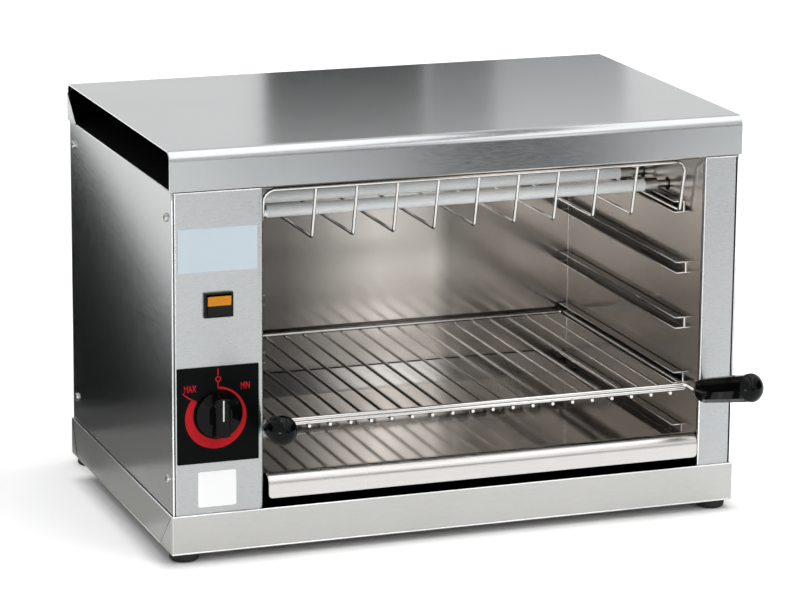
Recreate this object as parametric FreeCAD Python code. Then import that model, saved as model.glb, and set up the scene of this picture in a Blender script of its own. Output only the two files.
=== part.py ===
import FreeCAD, Part
import math
import os

# Salamander grill: a table-top cabinet with quartz tubes under its roof, a wire guard, a sliding
# wire rack with two grips and a crumb tray. Millimetres, +Z up, +X to the right, -Y to the front.
# The origin lies on the standing surface, under the centre of the whole grill.

# Plinth and feet
plinth_width = 450.0
plinth_depth = 285.0
plinth_height = 29.5
plinth_sheet = 1.0
plinth_lip = 26.0
plinth_corner = 1.2
foot_height = 7.0
foot_diameter = 22.0
foot_inset = 12.5
foot_round = 2.5
foot_recess_diameter = 10.0
foot_recess_depth = 3.6
foot_screw_diameter = 4.0
foot_screw_head = 7.6
foot_screw_head_height = 2.4
foot_screw_end = 5.0

# Sheets of the body
sheet = 1.0
seam_gap = 0.5
cover_gap = 1.0
panel_inset = 1.5
panel_tuck = 8.0
body_height = 243.0
cover_height = 29.5
cover_bend = 6.5
cover_tab = 23.0
control_width = 71.5
control_bend = 3.0
pillar_width = 29.3
edge_bend = 0.6
control_fold = 12.0
pillar_fold = 2.5
side_fold = 20.0
rear_fold = 15.0

# Cavity
left_wall_step = 3.0
right_wall_step = 1.3
liner_flange = 11.0
right_liner_setback = 5.0
cavity_rear_gap = 13.5
shield_inset = 3.0
reflector_drop = 5.0
reflector_front = 18.0
reflector_side_gap = 0.4
bracket_width = 20.0
bracket_foot = 18.0
bracket_spread = 150.0
bracket_setback = 60.0

# Runners: shelf heights above the plinth's underside, and the guard's below the body's top
runner_depth = 8.0
runner_height = 8.8
runner_front = 34.5
runner_rear_gap = 2.5
guard_runner_setback = 3.4
tray_level = 46.0
rack_level = 88.0
level_pitch = 43.75
rack_levels = 3
guard_drop = 50.5
rivet_diameter = 3.6
rivet_head = 0.8
rivet_shank = 1.8
rivet_tail = 1.5
rivet_end_inset = 18.0

# Heating
tube_count = 4
tube_first = 73.0
tube_pitch = 48.0
tube_drop = 35.5
tube_diameter = 9.5
tube_wall = 1.2
tube_seat_gap = 0.05
coil_diameter = 4.6
cap_length = 10.5
cap_wall = 0.45
cap_socket = 6.0
tail_diameter = 6.0
tail_show = 10.0
tail_past_wall = 13.0
wall_hole_diameter = 10.4
bush_flange_diameter = 15.0
bush_flange = 2.0
bush_length = 7.0
bush_bore_gap = 0.1
link_width = 8.0
link_sheet = 0.8
link_margin = 5.0
link_seat = 2.0

# Wire guard
guard_rod = 3.0
guard_wire = 2.5
guard_top_drop = 9.0
guard_front = 28.0
guard_foot = 37.6
guard_side_gap = 5.2
guard_rear_gap = 12.0
guard_corner = 9.0
guard_wire_bend = 2.6
guard_wire_count = 9
guard_wire_pitch = 32.1
weld_sink = 0.4

# Wire rack
rack_rod = 3.0
rack_wire = 2.5
rack_front = 10.7
rack_rear_gap = 6.0
rack_side_gap = 6.0
rack_corner = 5.0
rack_wire_count = 20
rack_wire_pitch = 16.18
rack_wire_margin = 12.0
rack_wire_ends = 2.4
handle_bar_end_inset = 3.4
handle_bend = 4.5
shelf_clearance = 0.1

# Grips, each along a line that leaves the rack forwards, outwards and upwards
grip_root_ahead = 15.7
grip_root_out = 7.4
grip_root_drop = 1.5
grip_length = 63.9
grip_out = 13.1
grip_up = 16.8
grip_root_diameter = 11.8
grip_shoulder_diameter = 19.5
grip_end_diameter = 21.8
grip_dome = 7.0
grip_shoulder = 7.8
grip_flats = 10
grip_flat_depth = 0.6
grip_flat_end = 1.5
grip_rod_depth = 26.0
grip_bore_gap = 0.05
ferrule_length = 4.0
grip_lead = 8.5
ferrule_diameter = 7.6

# Crumb tray
tray_side_gap_left = 0.4
tray_side_gap_right = 0.5
tray_runner_gap = 0.4
tray_notch_front = 30.0
tray_rear_gap = 3.0
tray_upturn = 10.0
tray_upturn_inset = 8.0
tray_rise_start = 24.0
tray_crest_back = 12.0
tray_crest = 54.2
tray_lip_bottom = 36.5
tray_bend = 5.0
tray_roll_bend = 7.0
tray_crest_bend = 5.0
tray_lip_corner = 3.0
tray_sheet = 1.0
tray_shelf_gap = 0.1

# Controls
knob_level = 105.0
knob_diameter = 34.5
knob_skirt = 2.8
knob_plate_gap = 0.5
knob_height = 15.0
knob_bar_width = 10.8
knob_bar_slope = 2.6
knob_dish = 1.6
knob_dish_diameter = 19.0
knob_bar_round = 1.2
knob_wall = 2.0
shaft_diameter = 6.0
shaft_gap = 0.05
shaft_rear = 20.0
dial_left = 4.4
dial_right_margin = 4.7
dial_bottom = 68.5
dial_height = 72.5
dial_sheet = 0.8
dial_corner = 0.8
regulator_width = 36.0
regulator_depth = 28.0
regulator_height = 40.0
bushing_diameter = 9.0
bushing_front = 3.4
panel_hole_gap = 0.1
nut_flats = 12.0
nut_height = 2.2
switch_left = 25.0
switch_width = 22.4
switch_bottom = 177.8
switch_height = 18.7
switch_bezel = 2.2
switch_bezel_corner = 0.8
switch_bezel_chamfer = 0.5
switch_body_inset = 0.6
switch_body_depth = 21.0
switch_wall = 0.6
switch_side_wall = 1.5
rocker_gap = 0.35
rocker_face = 3.7
rocker_step = 0.5
rocker_tilt = 7.0
rocker_depth = 8.0
rocker_skirt = 4.4
rocker_pivot_depth = 0.5
rocker_pin_diameter = 2.4
rocker_pin_gap = 0.05
rocker_pin_reach = 1.0
lens_sink = 1.2
name_label_left = 6.0
name_label_right_margin = 5.5
name_label_bottom = 212.0
name_label_height = 32.5
mark_label_left = 20.3
mark_label_width = 29.2
mark_label_bottom = 34.8
mark_label_height = 26.9
mark_label_corner = 1.6
label_sheet = 0.3

# Supply side
gland_from_right = 38.0
gland_level = 60.0
gland_bore_diameter = 8.0
gland_thread_diameter = 15.8
gland_hex = 20.0
gland_hex_length = 6.0
gland_dome_diameter = 17.0
gland_dome_length = 10.0
gland_dome_tip = 14.0
gland_inside = 10.0
gland_nut_flats = 20.0
gland_nut_length = 4.0
gland_hole_gap = 0.1
terminal_width = 30.0
terminal_depth = 17.0
terminal_height = 22.0
terminal_back = 70.0
terminal_screw_diameter = 5.0
terminal_ways = 3
lead_diameter = 2.6
lead_bend = 6.0
lead_run = 18.0
slot_count = 7
slot_pitch = 7.0
slot_width = 3.2
slot_length = 46.0
slot_corner = 1.5
slot_level = 150.0

# Screws of the body
screw_diameter = 3.6
screw_head_diameter = 6.6
screw_head_height = 1.9
screw_head_round = 1.3
screw_reach = 6.0
screw_hole_gap = 0.1
side_screw_inset = 14.3
front_screw_rise = 25.9
front_screw_drop = 20.8
rear_screw_rise = 20.5
rear_screw_drop = 17.5

# Places that follow from the sizes above
gland_reach = gland_hex_length + gland_dome_length - panel_inset
grip_tip = grip_root_ahead - rack_front
grip_forward = math.sqrt(grip_length ** 2 - grip_out ** 2 - grip_up ** 2)
grip_reach = grip_tip + grip_forward + grip_dome
plinth_left = -plinth_width / 2
plinth_right = plinth_width / 2
plinth_front = (grip_reach - plinth_depth - gland_reach) / 2
plinth_rear = plinth_front + plinth_depth
plinth_bottom = foot_height
plinth_top = plinth_bottom + plinth_height
body_top = plinth_top + body_height
cover_top = body_top + cover_height
panel_bottom = plinth_top - panel_tuck
panel_top = body_top - cover_gap
body_left = plinth_left + panel_inset
body_right = plinth_right - panel_inset
body_front = plinth_front + panel_inset
body_rear = plinth_rear - panel_inset
opening_left = plinth_left + control_width
opening_right = plinth_right - pillar_width
wall_left = opening_left + left_wall_step
wall_right = opening_right + right_wall_step
wall_rear = body_rear - cavity_rear_gap
fold_rear = body_front + control_fold
pillar_rear = body_front + pillar_fold
base_floor = plinth_bottom + plinth_sheet
base_top = base_floor + sheet
shield_top = panel_top + sheet
centre_x = (wall_left + wall_right) / 2
tube_z = body_top - tube_drop
dial_right = opening_left - dial_right_margin
knob_x = (plinth_left + dial_left + dial_right) / 2
knob_z = plinth_bottom + knob_level
gland_x = plinth_left + gland_from_right
gland_z = plinth_bottom + gland_level
guard_level = body_top - plinth_bottom - guard_drop
guard_z = plinth_bottom + guard_level + guard_rod / 2 + shelf_clearance
guard_left = wall_left + guard_side_gap
guard_right = wall_right - guard_side_gap
rack_z = plinth_bottom + rack_level + rack_rod / 2 + shelf_clearance
rack_left = wall_left + rack_side_gap
rack_right = wall_right - rack_side_gap
rack_front_y = plinth_front + rack_front
rack_rear_y = wall_rear - rack_rear_gap
tube_depths = [plinth_front + tube_first + tube_pitch * number for number in range(tube_count)]
shelf_front = plinth_front + runner_front
guard_shelf_front = plinth_front + guard_foot + guard_runner_setback
runner_shelves = [(guard_level, guard_shelf_front)]
for number in reversed(range(rack_levels)):
    runner_shelves.append((rack_level + level_pitch * number, shelf_front))
runner_shelves.append((tray_level, shelf_front))

# Overrun of the cutting solids past a face, and the smallest length that counts
overrun = 1.0
tiny = 1e-6


def point(x, y, z):
    return FreeCAD.Vector(x, y, z)


def block(x0, x1, y0, y1, z0, z1):
    return Part.makeBox(x1 - x0, y1 - y0, z1 - z0, point(x0, y0, z0))


def rod(radius, start, end):
    axis = end.sub(start)
    return Part.makeCylinder(radius, axis.Length, start, axis)


def ring(outer, inner, start, end):
    return rod(outer, start, end).cut(rod(inner, start, end))


def joined(shapes):
    return shapes[0].multiFuse(shapes[1:]).removeSplitter()


def group(shapes):
    return Part.makeCompound(shapes)


def save(name, shape):
    shape.exportStep("parts/" + name + ".step")


# A run of points joined by straight edges, with each corner rounded by its own radius.
def rounded_edges(points, radii):
    edges = []
    start = points[0]
    for number, radius in enumerate(radii):
        corner = points[number + 1]
        back = points[number].sub(corner).normalize()
        ahead = points[number + 2].sub(corner).normalize()
        half_angle = back.getAngle(ahead) / 2
        reach = radius / math.tan(half_angle)
        arc_start = corner.add(back * reach)
        arc_end = corner.add(ahead * reach)
        middle = back.add(ahead).normalize() * (radius / math.sin(half_angle) - radius)
        if start.distanceToPoint(arc_start) > tiny:
            edges.append(Part.makeLine(start, arc_start))
        edges.append(Part.Arc(arc_start, corner.add(middle), arc_end).toShape())
        start = arc_end
    if start.distanceToPoint(points[-1]) > tiny:
        edges.append(Part.makeLine(start, points[-1]))
    return edges


# A round rod bent along a run of points.
def bent_rod(points, diameter, bend):
    edges = rounded_edges(points, [bend] * (len(points) - 2))
    path = Part.Wire(edges)
    heading = points[1].sub(points[0])
    section = Part.Wire(Part.makeCircle(diameter / 2, points[0], heading))
    return path.makePipeShell([section], True, False)


# The run of points that lies a sheet's thickness to the left of a flat outline.
def shifted(outline, thickness):
    turned = []
    for start, end in zip(outline, outline[1:]):
        along = end.sub(start).normalize()
        turned.append(point(-along.y, along.x, 0))
    moved = [outline[0].add(turned[0] * thickness)]
    for corner, before, after in zip(outline[1:], turned, turned[1:]):
        moved.append(corner.add(before.add(after) * (thickness / (1 + before.dot(after)))))
    moved.append(outline[-1].add(turned[-1] * thickness))
    return moved


# A folded sheet: its outer faces follow the outline, and its thickness lies to the outline's left.
# The outline's pairs are read as (y, z) for an X run, (x, z) for a Y run and (x, y) for a Z run.
def folded_sheet(outline, thickness, bends, run, start, end):
    flat = [point(first, second, 0) for first, second in outline]
    other = shifted(flat, thickness)
    near_radii = []
    far_radii = []
    for before, corner, after, bend in zip(flat, flat[1:], flat[2:], bends):
        turn = corner.sub(before).cross(after.sub(corner)).z
        near_radii.append(bend + thickness if turn > 0 else bend)
        far_radii.append(bend if turn > 0 else bend + thickness)
    edges = rounded_edges(flat, near_radii)
    edges.append(Part.makeLine(flat[-1], other[-1]))
    edges += rounded_edges(other, far_radii)
    edges.append(Part.makeLine(other[0], flat[0]))
    face = Part.Face(Part.Wire(Part.__sortEdges__(edges)))
    if run == "z":
        face.translate(point(0, 0, start))
        return face.extrude(point(0, 0, end - start))
    if run == "x":
        face.rotate(point(0, 0, 0), point(1, 1, 1), 120)
        face.translate(point(start, 0, 0))
        return face.extrude(point(end - start, 0, 0))
    face.rotate(point(0, 0, 0), point(1, 0, 0), 90)
    face.translate(point(0, start, 0))
    return face.extrude(point(0, end - start, 0))


def rounded_plate(x0, x1, y0, y1, z0, z1, corner):
    plate = block(x0, x1, y0, y1, z0, z1)
    along_y = [edge for edge in plate.Edges if abs(edge.tangentAt(edge.FirstParameter).y) > 0.5]
    return plate.makeFillet(corner, along_y)


def hexagon(flats, centre, along, length):
    corner = flats / math.sqrt(3)
    across = point(1, 0, 0) if abs(along.x) < 0.5 else point(0, 1, 0)
    other = along.cross(across)
    turns = [math.radians(60 * number) for number in range(7)]
    corners = [centre + across * (corner * math.cos(t)) + other * (corner * math.sin(t)) for t in turns]
    return Part.Face(Part.makePolygon(corners)).extrude(along * length)


# Plinth, base plate and feet
def foot_centres():
    fronts = (plinth_front + foot_inset, plinth_rear - foot_inset)
    sides = (plinth_left + foot_inset, plinth_right - foot_inset)
    return [(x, y) for y in fronts for x in sides]


def base_plinth():
    pan = block(plinth_left, plinth_right, plinth_front, plinth_rear, plinth_bottom, plinth_top)
    upright = [edge for edge in pan.Edges if abs(edge.tangentAt(edge.FirstParameter).z) > 0.5]
    pan = pan.makeFillet(plinth_corner, upright)
    wall = plinth_sheet
    hollow = block(plinth_left + wall, plinth_right - wall, plinth_front + wall, plinth_rear - wall,
                   base_floor, plinth_top + wall)
    lip = plinth_lip
    window = block(plinth_left + lip, plinth_right - lip, plinth_front + lip, plinth_rear - lip,
                   plinth_bottom - wall, base_floor + wall)
    pan = pan.cut(hollow).cut(window)
    for x, y in foot_centres():
        hole_radius = foot_screw_diameter / 2 + screw_hole_gap
        pan = pan.cut(rod(hole_radius, point(x, y, plinth_bottom - wall), point(x, y, base_top)))
    return pan


def base_plate():
    pan = block(body_left, body_right, body_front, body_rear, base_floor, panel_bottom)
    inner = block(body_left + sheet, body_right - sheet, body_front + sheet, body_rear - sheet,
                  base_top, panel_bottom + sheet)
    pan = pan.cut(inner)
    for x, y in foot_centres():
        hole_radius = foot_screw_diameter / 2 + screw_hole_gap
        pan = pan.cut(rod(hole_radius, point(x, y, plinth_bottom), point(x, y, base_top + sheet)))
    return pan


def foot(x, y):
    radius = foot_diameter / 2
    rubber = rod(radius, point(x, y, 0), point(x, y, foot_height))
    lower = [edge for edge in rubber.Edges if edge.BoundBox.ZMax < tiny]
    rubber = rubber.makeFillet(foot_round, lower)
    recess = rod(foot_recess_diameter / 2, point(x, y, -sheet), point(x, y, foot_recess_depth))
    hole_radius = foot_screw_diameter / 2 + screw_hole_gap
    hole = rod(hole_radius, point(x, y, 0), point(x, y, foot_height + sheet))
    return rubber.cut(recess).cut(hole)


def foot_screw(x, y):
    seat = foot_recess_depth
    head = rod(foot_screw_head / 2, point(x, y, seat - foot_screw_head_height), point(x, y, seat))
    shank = rod(foot_screw_diameter / 2, point(x, y, seat), point(x, y, base_top + foot_screw_end))
    return joined([head, shank])


# Body sheets
def side_screw_places():
    front = plinth_front + side_screw_inset
    rear = plinth_rear - side_screw_inset
    return [(front, plinth_top + front_screw_rise), (front, body_top - front_screw_drop),
            (rear, plinth_top + rear_screw_rise), (rear, body_top - rear_screw_drop)]


def side_panel(outer, inward):
    inner = outer + inward * sheet
    panel = block(min(outer, inner), max(outer, inner), body_front, body_rear, panel_bottom, body_top)
    for y, z in side_screw_places():
        hole_radius = screw_diameter / 2 + screw_hole_gap
        start = point(outer - inward * sheet, y, z)
        panel = panel.cut(rod(hole_radius, start, point(inner + inward * sheet, y, z)))
    return panel


def side_holes(shape, outer, inward, places):
    for y, z in places:
        hole_radius = screw_diameter / 2 + screw_hole_gap
        start = point(outer - inward * sheet, y, z)
        end = point(outer + inward * (seam_gap + sheet * 3), y, z)
        shape = shape.cut(rod(hole_radius, start, end))
    return shape


def control_panel():
    left = body_left + sheet + seam_gap
    outline = [(left, body_front + side_fold), (left, body_front),
               (opening_left, body_front), (opening_left, fold_rear)]
    panel = folded_sheet(outline, sheet, [edge_bend, control_bend], "z", panel_bottom, panel_top)
    body = switch_body()
    window = body.BoundBox
    gap = panel_hole_gap
    panel = panel.cut(block(window.XMin - gap, window.XMax + gap, body_front - sheet,
                            body_front + sheet * 2, window.ZMin - gap, window.ZMax + gap))
    hole_radius = bushing_diameter / 2 + panel_hole_gap
    start = point(knob_x, body_front - sheet, knob_z)
    panel = panel.cut(rod(hole_radius, start, point(knob_x, body_front + sheet * 2, knob_z)))
    return side_holes(panel, body_left, 1, side_screw_places()[:2])


def right_pillar():
    right = body_right - sheet - seam_gap
    outline = [(opening_right, pillar_rear), (opening_right, body_front),
               (right, body_front), (right, body_front + side_fold)]
    pillar = folded_sheet(outline, sheet, [edge_bend, edge_bend], "z", panel_bottom, panel_top)
    return side_holes(pillar, body_right, -1, side_screw_places()[:2])


def rear_panel():
    left = body_left + sheet + seam_gap
    right = body_right - sheet - seam_gap
    outline = [(right, body_rear - rear_fold), (right, body_rear),
               (left, body_rear), (left, body_rear - rear_fold)]
    panel = folded_sheet(outline, sheet, [edge_bend, edge_bend], "z", panel_bottom, panel_top)
    panel = side_holes(panel, body_left, 1, side_screw_places()[2:])
    panel = side_holes(panel, body_right, -1, side_screw_places()[2:])
    hole_radius = gland_thread_diameter / 2 + gland_hole_gap
    start = point(gland_x, body_rear - sheet * 2, gland_z)
    panel = panel.cut(rod(hole_radius, start, point(gland_x, body_rear + sheet, gland_z)))
    first = gland_x - slot_pitch * (slot_count - 1) / 2
    for number in range(slot_count):
        x = first + slot_pitch * number
        low = plinth_bottom + slot_level
        slot = rounded_plate(x - slot_width / 2, x + slot_width / 2, body_rear - sheet * 2,
                             body_rear + sheet, low, low + slot_length, slot_corner)
        panel = panel.cut(slot)
    return panel


def top_cover():
    outline = [(plinth_rear, body_top), (plinth_rear, cover_top),
               (plinth_front, cover_top), (plinth_front, body_top)]
    hood = folded_sheet(outline, sheet, [cover_bend, cover_bend], "x", plinth_left, plinth_right)
    tab_rear = plinth_rear - sheet
    tab_top = cover_top - cover_bend - sheet
    tabs = []
    for start in (plinth_left, plinth_right - sheet):
        corners = [point(start, tab_rear, body_top), point(start, tab_rear, tab_top),
                   point(start, tab_rear - cover_tab, body_top), point(start, tab_rear, body_top)]
        tabs.append(Part.Face(Part.makePolygon(corners)).extrude(point(sheet, 0, 0)))
    return joined([hood] + tabs)


def heat_shield():
    return block(body_left + sheet, body_right - sheet, body_front + shield_inset,
                 body_rear - shield_inset, panel_top, shield_top)


def cover_bracket(x, y):
    pad = cover_top - sheet * 2
    outline = [(y - bracket_foot, shield_top), (y, shield_top), (y, pad), (y + bracket_foot, pad)]
    half = bracket_width / 2
    return folded_sheet(outline, sheet, [edge_bend, edge_bend], "x", x - half, x + half)


def bracket_places():
    depths = (plinth_front + bracket_setback, plinth_rear - bracket_setback)
    return [(x, y) for x in (-bracket_spread, bracket_spread) for y in depths]


# Cavity lining
def tail_holes(shape, wall, outward):
    for y in tube_depths:
        start = point(wall - outward * sheet, y, tube_z)
        end = point(wall + outward * sheet * 2, y, tube_z)
        shape = shape.cut(rod(wall_hole_diameter / 2, start, end))
    return shape


def rivet_places():
    last = wall_rear - runner_rear_gap - rivet_end_inset
    middle = plinth_bottom - sheet + runner_height / 2
    return [(y, middle + shelf) for shelf, front in runner_shelves for y in (front + rivet_end_inset, last)]


def rivet_holes(shape, wall, outward):
    for y, z in rivet_places():
        hole_radius = rivet_shank / 2 + screw_hole_gap
        start = point(wall - outward * runner_depth, y, z)
        shape = shape.cut(rod(hole_radius, start, point(wall + outward * sheet * 2, y, z)))
    return shape


def side_liner(wall, outward, front):
    outline = [(wall, wall_rear), (wall, front), (wall + outward * liner_flange, front)]
    if outward > 0:
        liner = folded_sheet(outline, sheet, [edge_bend], "z", base_top, panel_top)
    else:
        liner = folded_sheet(outline[::-1], sheet, [edge_bend], "z", base_top, panel_top)
    return rivet_holes(tail_holes(liner, wall, outward), wall, outward)


def liner_rear():
    return block(wall_left - sheet, wall_right + sheet, wall_rear, wall_rear + sheet, base_top, panel_top)


def reflector():
    front = body_front + reflector_front
    plate_z = panel_top - reflector_drop
    outline = [(wall_rear, panel_top), (wall_rear, plate_z), (front, plate_z), (front, panel_top)]
    left = wall_left + reflector_side_gap
    right = wall_right - reflector_side_gap
    return folded_sheet(outline[::-1], sheet, [edge_bend, edge_bend], "x", left, right)


def runner(wall, inward, shelf, start):
    low = plinth_bottom + shelf - sheet
    tip = wall + inward * runner_depth
    outline = [(tip, low), (wall, low), (wall, low + runner_height), (tip, low + runner_height)]
    end = wall_rear - runner_rear_gap
    if inward < 0:
        channel = folded_sheet(outline, sheet, [edge_bend, edge_bend], "y", start, end)
    else:
        channel = folded_sheet(outline[::-1], sheet, [edge_bend, edge_bend], "y", start, end)
    return rivet_holes(channel, wall, -inward)


def rivet(wall, inward, y, z):
    web = wall + inward * sheet
    head = rod(rivet_diameter / 2, point(web, y, z), point(web + inward * rivet_head, y, z))
    shank = rod(rivet_shank / 2, point(web, y, z), point(wall - inward * rivet_tail, y, z))
    return joined([head, shank])


# Heating
def tube_span():
    inset = tail_show + cap_length - cap_socket
    return wall_left + inset, wall_right - inset


def quartz_tube(y):
    left, right = tube_span()
    radius = tube_diameter / 2
    return ring(radius, radius - tube_wall, point(left, y, tube_z), point(right, y, tube_z))


def heating_coil(y):
    left, right = tube_span()
    return rod(coil_diameter / 2, point(left, y, tube_z), point(right, y, tube_z))


def end_cap(wall, inward, y):
    tail_front = wall + inward * tail_show
    mouth = tail_front + inward * cap_length
    socket = mouth - inward * cap_socket
    cap_radius = tube_diameter / 2 + tube_seat_gap + cap_wall
    cap = rod(cap_radius, point(tail_front, y, tube_z), point(mouth, y, tube_z))
    seat_radius = tube_diameter / 2 + tube_seat_gap
    cap = cap.cut(rod(seat_radius, point(socket, y, tube_z), point(mouth + inward * overrun, y, tube_z)))
    tail_rear = wall - inward * tail_past_wall
    tail = rod(tail_diameter / 2, point(tail_front, y, tube_z), point(tail_rear, y, tube_z))
    return joined([cap, tail])


def ceramic_bush(wall, outward, y):
    back = wall + outward * sheet
    flange = rod(bush_flange_diameter / 2, point(back, y, tube_z),
                 point(back + outward * bush_flange, y, tube_z))
    collar = rod(wall_hole_diameter / 2 - bush_bore_gap, point(back + outward * bush_flange, y, tube_z),
                 point(back + outward * bush_length, y, tube_z))
    bore = rod(tail_diameter / 2 + bush_bore_gap, point(wall, y, tube_z),
               point(back + outward * (bush_length + overrun), y, tube_z))
    return joined([flange, collar]).cut(bore)


def tube_link(wall, outward, y0, y1):
    seat = wall + outward * (tail_past_wall - link_seat)
    face = seat + outward * link_sheet
    half = link_width / 2
    strap = block(min(seat, face), max(seat, face), y0 - link_margin, y1 + link_margin,
                  tube_z - half, tube_z + half)
    for y in (y0, y1):
        hole = rod(tail_diameter / 2 + bush_bore_gap / 2, point(wall, y, tube_z),
                   point(wall + outward * tail_past_wall, y, tube_z))
        strap = strap.cut(hole)
    return strap


def tube_links():
    links = [tube_link(wall_right, 1, near, far)
             for near, far in zip(tube_depths[0::2], tube_depths[1::2])]
    return links + [tube_link(wall_left, -1, tube_depths[1], tube_depths[2])]


# Wire guard
def guard_path(x):
    front = plinth_front + guard_front
    heel = plinth_front + guard_foot
    top = body_top - guard_top_drop
    return point(x, front, top), point(x, heel, guard_z), point(x, wall_rear - guard_rear_gap, guard_z)


def guard_frame():
    left_top, left_heel, left_end = guard_path(guard_left)
    right_top, right_heel, right_end = guard_path(guard_right)
    run = [left_end, left_heel, left_top, right_top, right_heel, right_end]
    edges = rounded_edges(run, [guard_wire_bend, guard_corner, guard_corner, guard_wire_bend])
    section = Part.Wire(Part.makeCircle(guard_rod / 2, left_end, point(0, 1, 0)))
    frame = Part.Wire(edges).makePipeShell([section], True, False)
    lift = (guard_rod + guard_wire) / 2 - weld_sink
    setback = guard_rod / 2
    back = rod(guard_rod / 2, point(guard_left, left_end.y - setback, guard_z + lift),
               point(guard_right, right_end.y - setback, guard_z + lift))
    return joined([frame, back])


def guard_wires():
    wires = []
    first = centre_x - guard_wire_pitch * (guard_wire_count - 1) / 2
    for number in range(guard_wire_count):
        top, heel, end = guard_path(first + guard_wire_pitch * number)
        down = heel.sub(top).normalize()
        start = top.add(down * (guard_rod / 2 - weld_sink))
        wires.append(bent_rod([start, heel, end], guard_wire, guard_wire_bend))
    return wires


# Wire rack
def rack_frame():
    radius = rack_rod / 2
    middle = (rack_front_y + rack_rear_y) / 2
    halves = []
    for end_y in (rack_front_y, rack_rear_y):
        run = [point(rack_left, middle, rack_z), point(rack_left, end_y, rack_z),
               point(rack_right, end_y, rack_z), point(rack_right, middle, rack_z)]
        edges = rounded_edges(run, [rack_corner, rack_corner])
        section = Part.Wire(Part.makeCircle(radius, run[0], point(0, 1, 0)))
        halves.append(Part.Wire(edges).makePipeShell([section], True, False))
    return joined(halves)


def rack_wires():
    drop = (rack_rod + rack_wire) / 2 - weld_sink
    wires = []
    for number in range(rack_wire_count):
        x = rack_left + rack_wire_margin + rack_wire_pitch * number
        start = point(x, rack_front_y - rack_wire_ends, rack_z - drop)
        end = point(x, rack_rear_y + rack_wire_ends, rack_z - drop)
        wires.append(rod(rack_wire / 2, start, end))
    return wires


def grip_axis(side):
    corner_x = rack_right - handle_bar_end_inset
    handle_z = rack_z + rack_rod
    root = point(corner_x + grip_root_out, rack_front_y - grip_root_ahead, handle_z - grip_root_drop)
    along = point(grip_out, -grip_forward, grip_up).normalize()
    corner = point(corner_x, rack_front_y, handle_z)
    if side > 0:
        return corner, root, along
    mirror = 2 * centre_x
    return (point(mirror - corner.x, corner.y, corner.z), point(mirror - root.x, root.y, root.z),
            point(-along.x, along.y, along.z))


def rack_handle_rod():
    left_corner, left_root, left_along = grip_axis(-1)
    right_corner, right_root, right_along = grip_axis(1)
    run = [left_root.add(left_along * grip_rod_depth), left_root.sub(left_along * grip_lead),
           left_corner, right_corner, right_root.sub(right_along * grip_lead),
           right_root.add(right_along * grip_rod_depth)]
    return bent_rod(run, rack_rod, handle_bend)


def grip(side):
    corner, root, along = grip_axis(side)
    root_radius = grip_root_diameter / 2
    full_radius = grip_shoulder_diameter / 2
    end_radius = grip_end_diameter / 2
    centre = point(0, 0, 0)
    root_edge = point(root_radius, 0, 0)
    shoulder = point(full_radius, 0, grip_shoulder)
    end_edge = point(end_radius, 0, grip_length)
    tip = point(0, 0, grip_length + grip_dome)
    half_turn = math.sin(math.pi / 4)
    swell = point(root_radius + (full_radius - root_radius) * half_turn, 0, grip_shoulder * (1 - half_turn))
    ball = (end_radius ** 2 + grip_dome ** 2) / (2 * grip_dome)
    dome_angle = math.asin(end_radius / ball) / 2
    crown = point(ball * math.sin(dome_angle), 0, tip.z - ball + ball * math.cos(dome_angle))
    edges = [Part.makeLine(centre, root_edge), Part.Arc(root_edge, swell, shoulder).toShape(),
             Part.makeLine(shoulder, end_edge), Part.Arc(end_edge, crown, tip).toShape(),
             Part.makeLine(tip, centre)]
    body = Part.Face(Part.Wire(edges)).revolve(centre, point(0, 0, 1), 360)
    lean = math.atan((end_radius - full_radius) / (grip_length - grip_shoulder))
    span = (grip_length - grip_flat_end) / math.cos(lean)
    flat_start = full_radius - grip_flat_depth - grip_shoulder * math.tan(lean)
    for number in range(grip_flats):
        cutter = Part.makeBox(end_radius, end_radius * 2, span, point(0, -end_radius, 0))
        cutter.rotate(centre, point(0, 1, 0), math.degrees(lean))
        cutter.translate(point(flat_start, 0, 0))
        cutter.rotate(point(0, 0, 0), point(0, 0, 1), 360 * number / grip_flats)
        body = body.cut(cutter)
    hole = rod(rack_rod / 2 + grip_bore_gap, point(0, 0, -overrun), point(0, 0, grip_rod_depth + overrun))
    body = body.cut(hole)
    body.Placement = FreeCAD.Placement(root, FreeCAD.Rotation(point(0, 0, 1), along))
    return body


def grip_ferrule(side):
    corner, root, along = grip_axis(side)
    end = root.sub(along * ferrule_length)
    return ring(ferrule_diameter / 2, rack_rod / 2 + grip_bore_gap, root, end)


# Crumb tray
def crumb_tray():
    left = wall_left + tray_side_gap_left
    right = opening_right - tray_side_gap_right
    floor = plinth_bottom + tray_level + tray_shelf_gap
    rear = wall_rear - tray_rear_gap
    rise = plinth_front + tray_rise_start
    crest_y = plinth_front + tray_crest_back
    crest = plinth_bottom + tray_crest - tray_sheet
    lip_bottom = plinth_bottom + tray_lip_bottom
    front = body_front + tray_sheet
    outline = [(front, lip_bottom), (front, crest), (crest_y, crest), (rise, floor), (rear, floor)]
    bends = [tray_roll_bend, tray_crest_bend, tray_bend]
    tray = folded_sheet(outline, tray_sheet, bends, "x", left, right)
    upturn = block(left + tray_upturn_inset, right - tray_upturn_inset, rear, rear + tray_sheet,
                   floor, floor + tray_upturn)
    notch = block(left - sheet, wall_left + sheet + tray_runner_gap, plinth_front + tray_notch_front,
                  rear + sheet * 2, floor - sheet, floor + tray_upturn)
    tray = joined([tray, upturn]).cut(notch)
    lip_ends = [edge for edge in tray.Edges if edge.BoundBox.ZMax < lip_bottom + tiny]
    lip_ends = [edge for edge in lip_ends if edge.BoundBox.XLength < tiny]
    return tray.makeFillet(tray_lip_corner, lip_ends)


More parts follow.
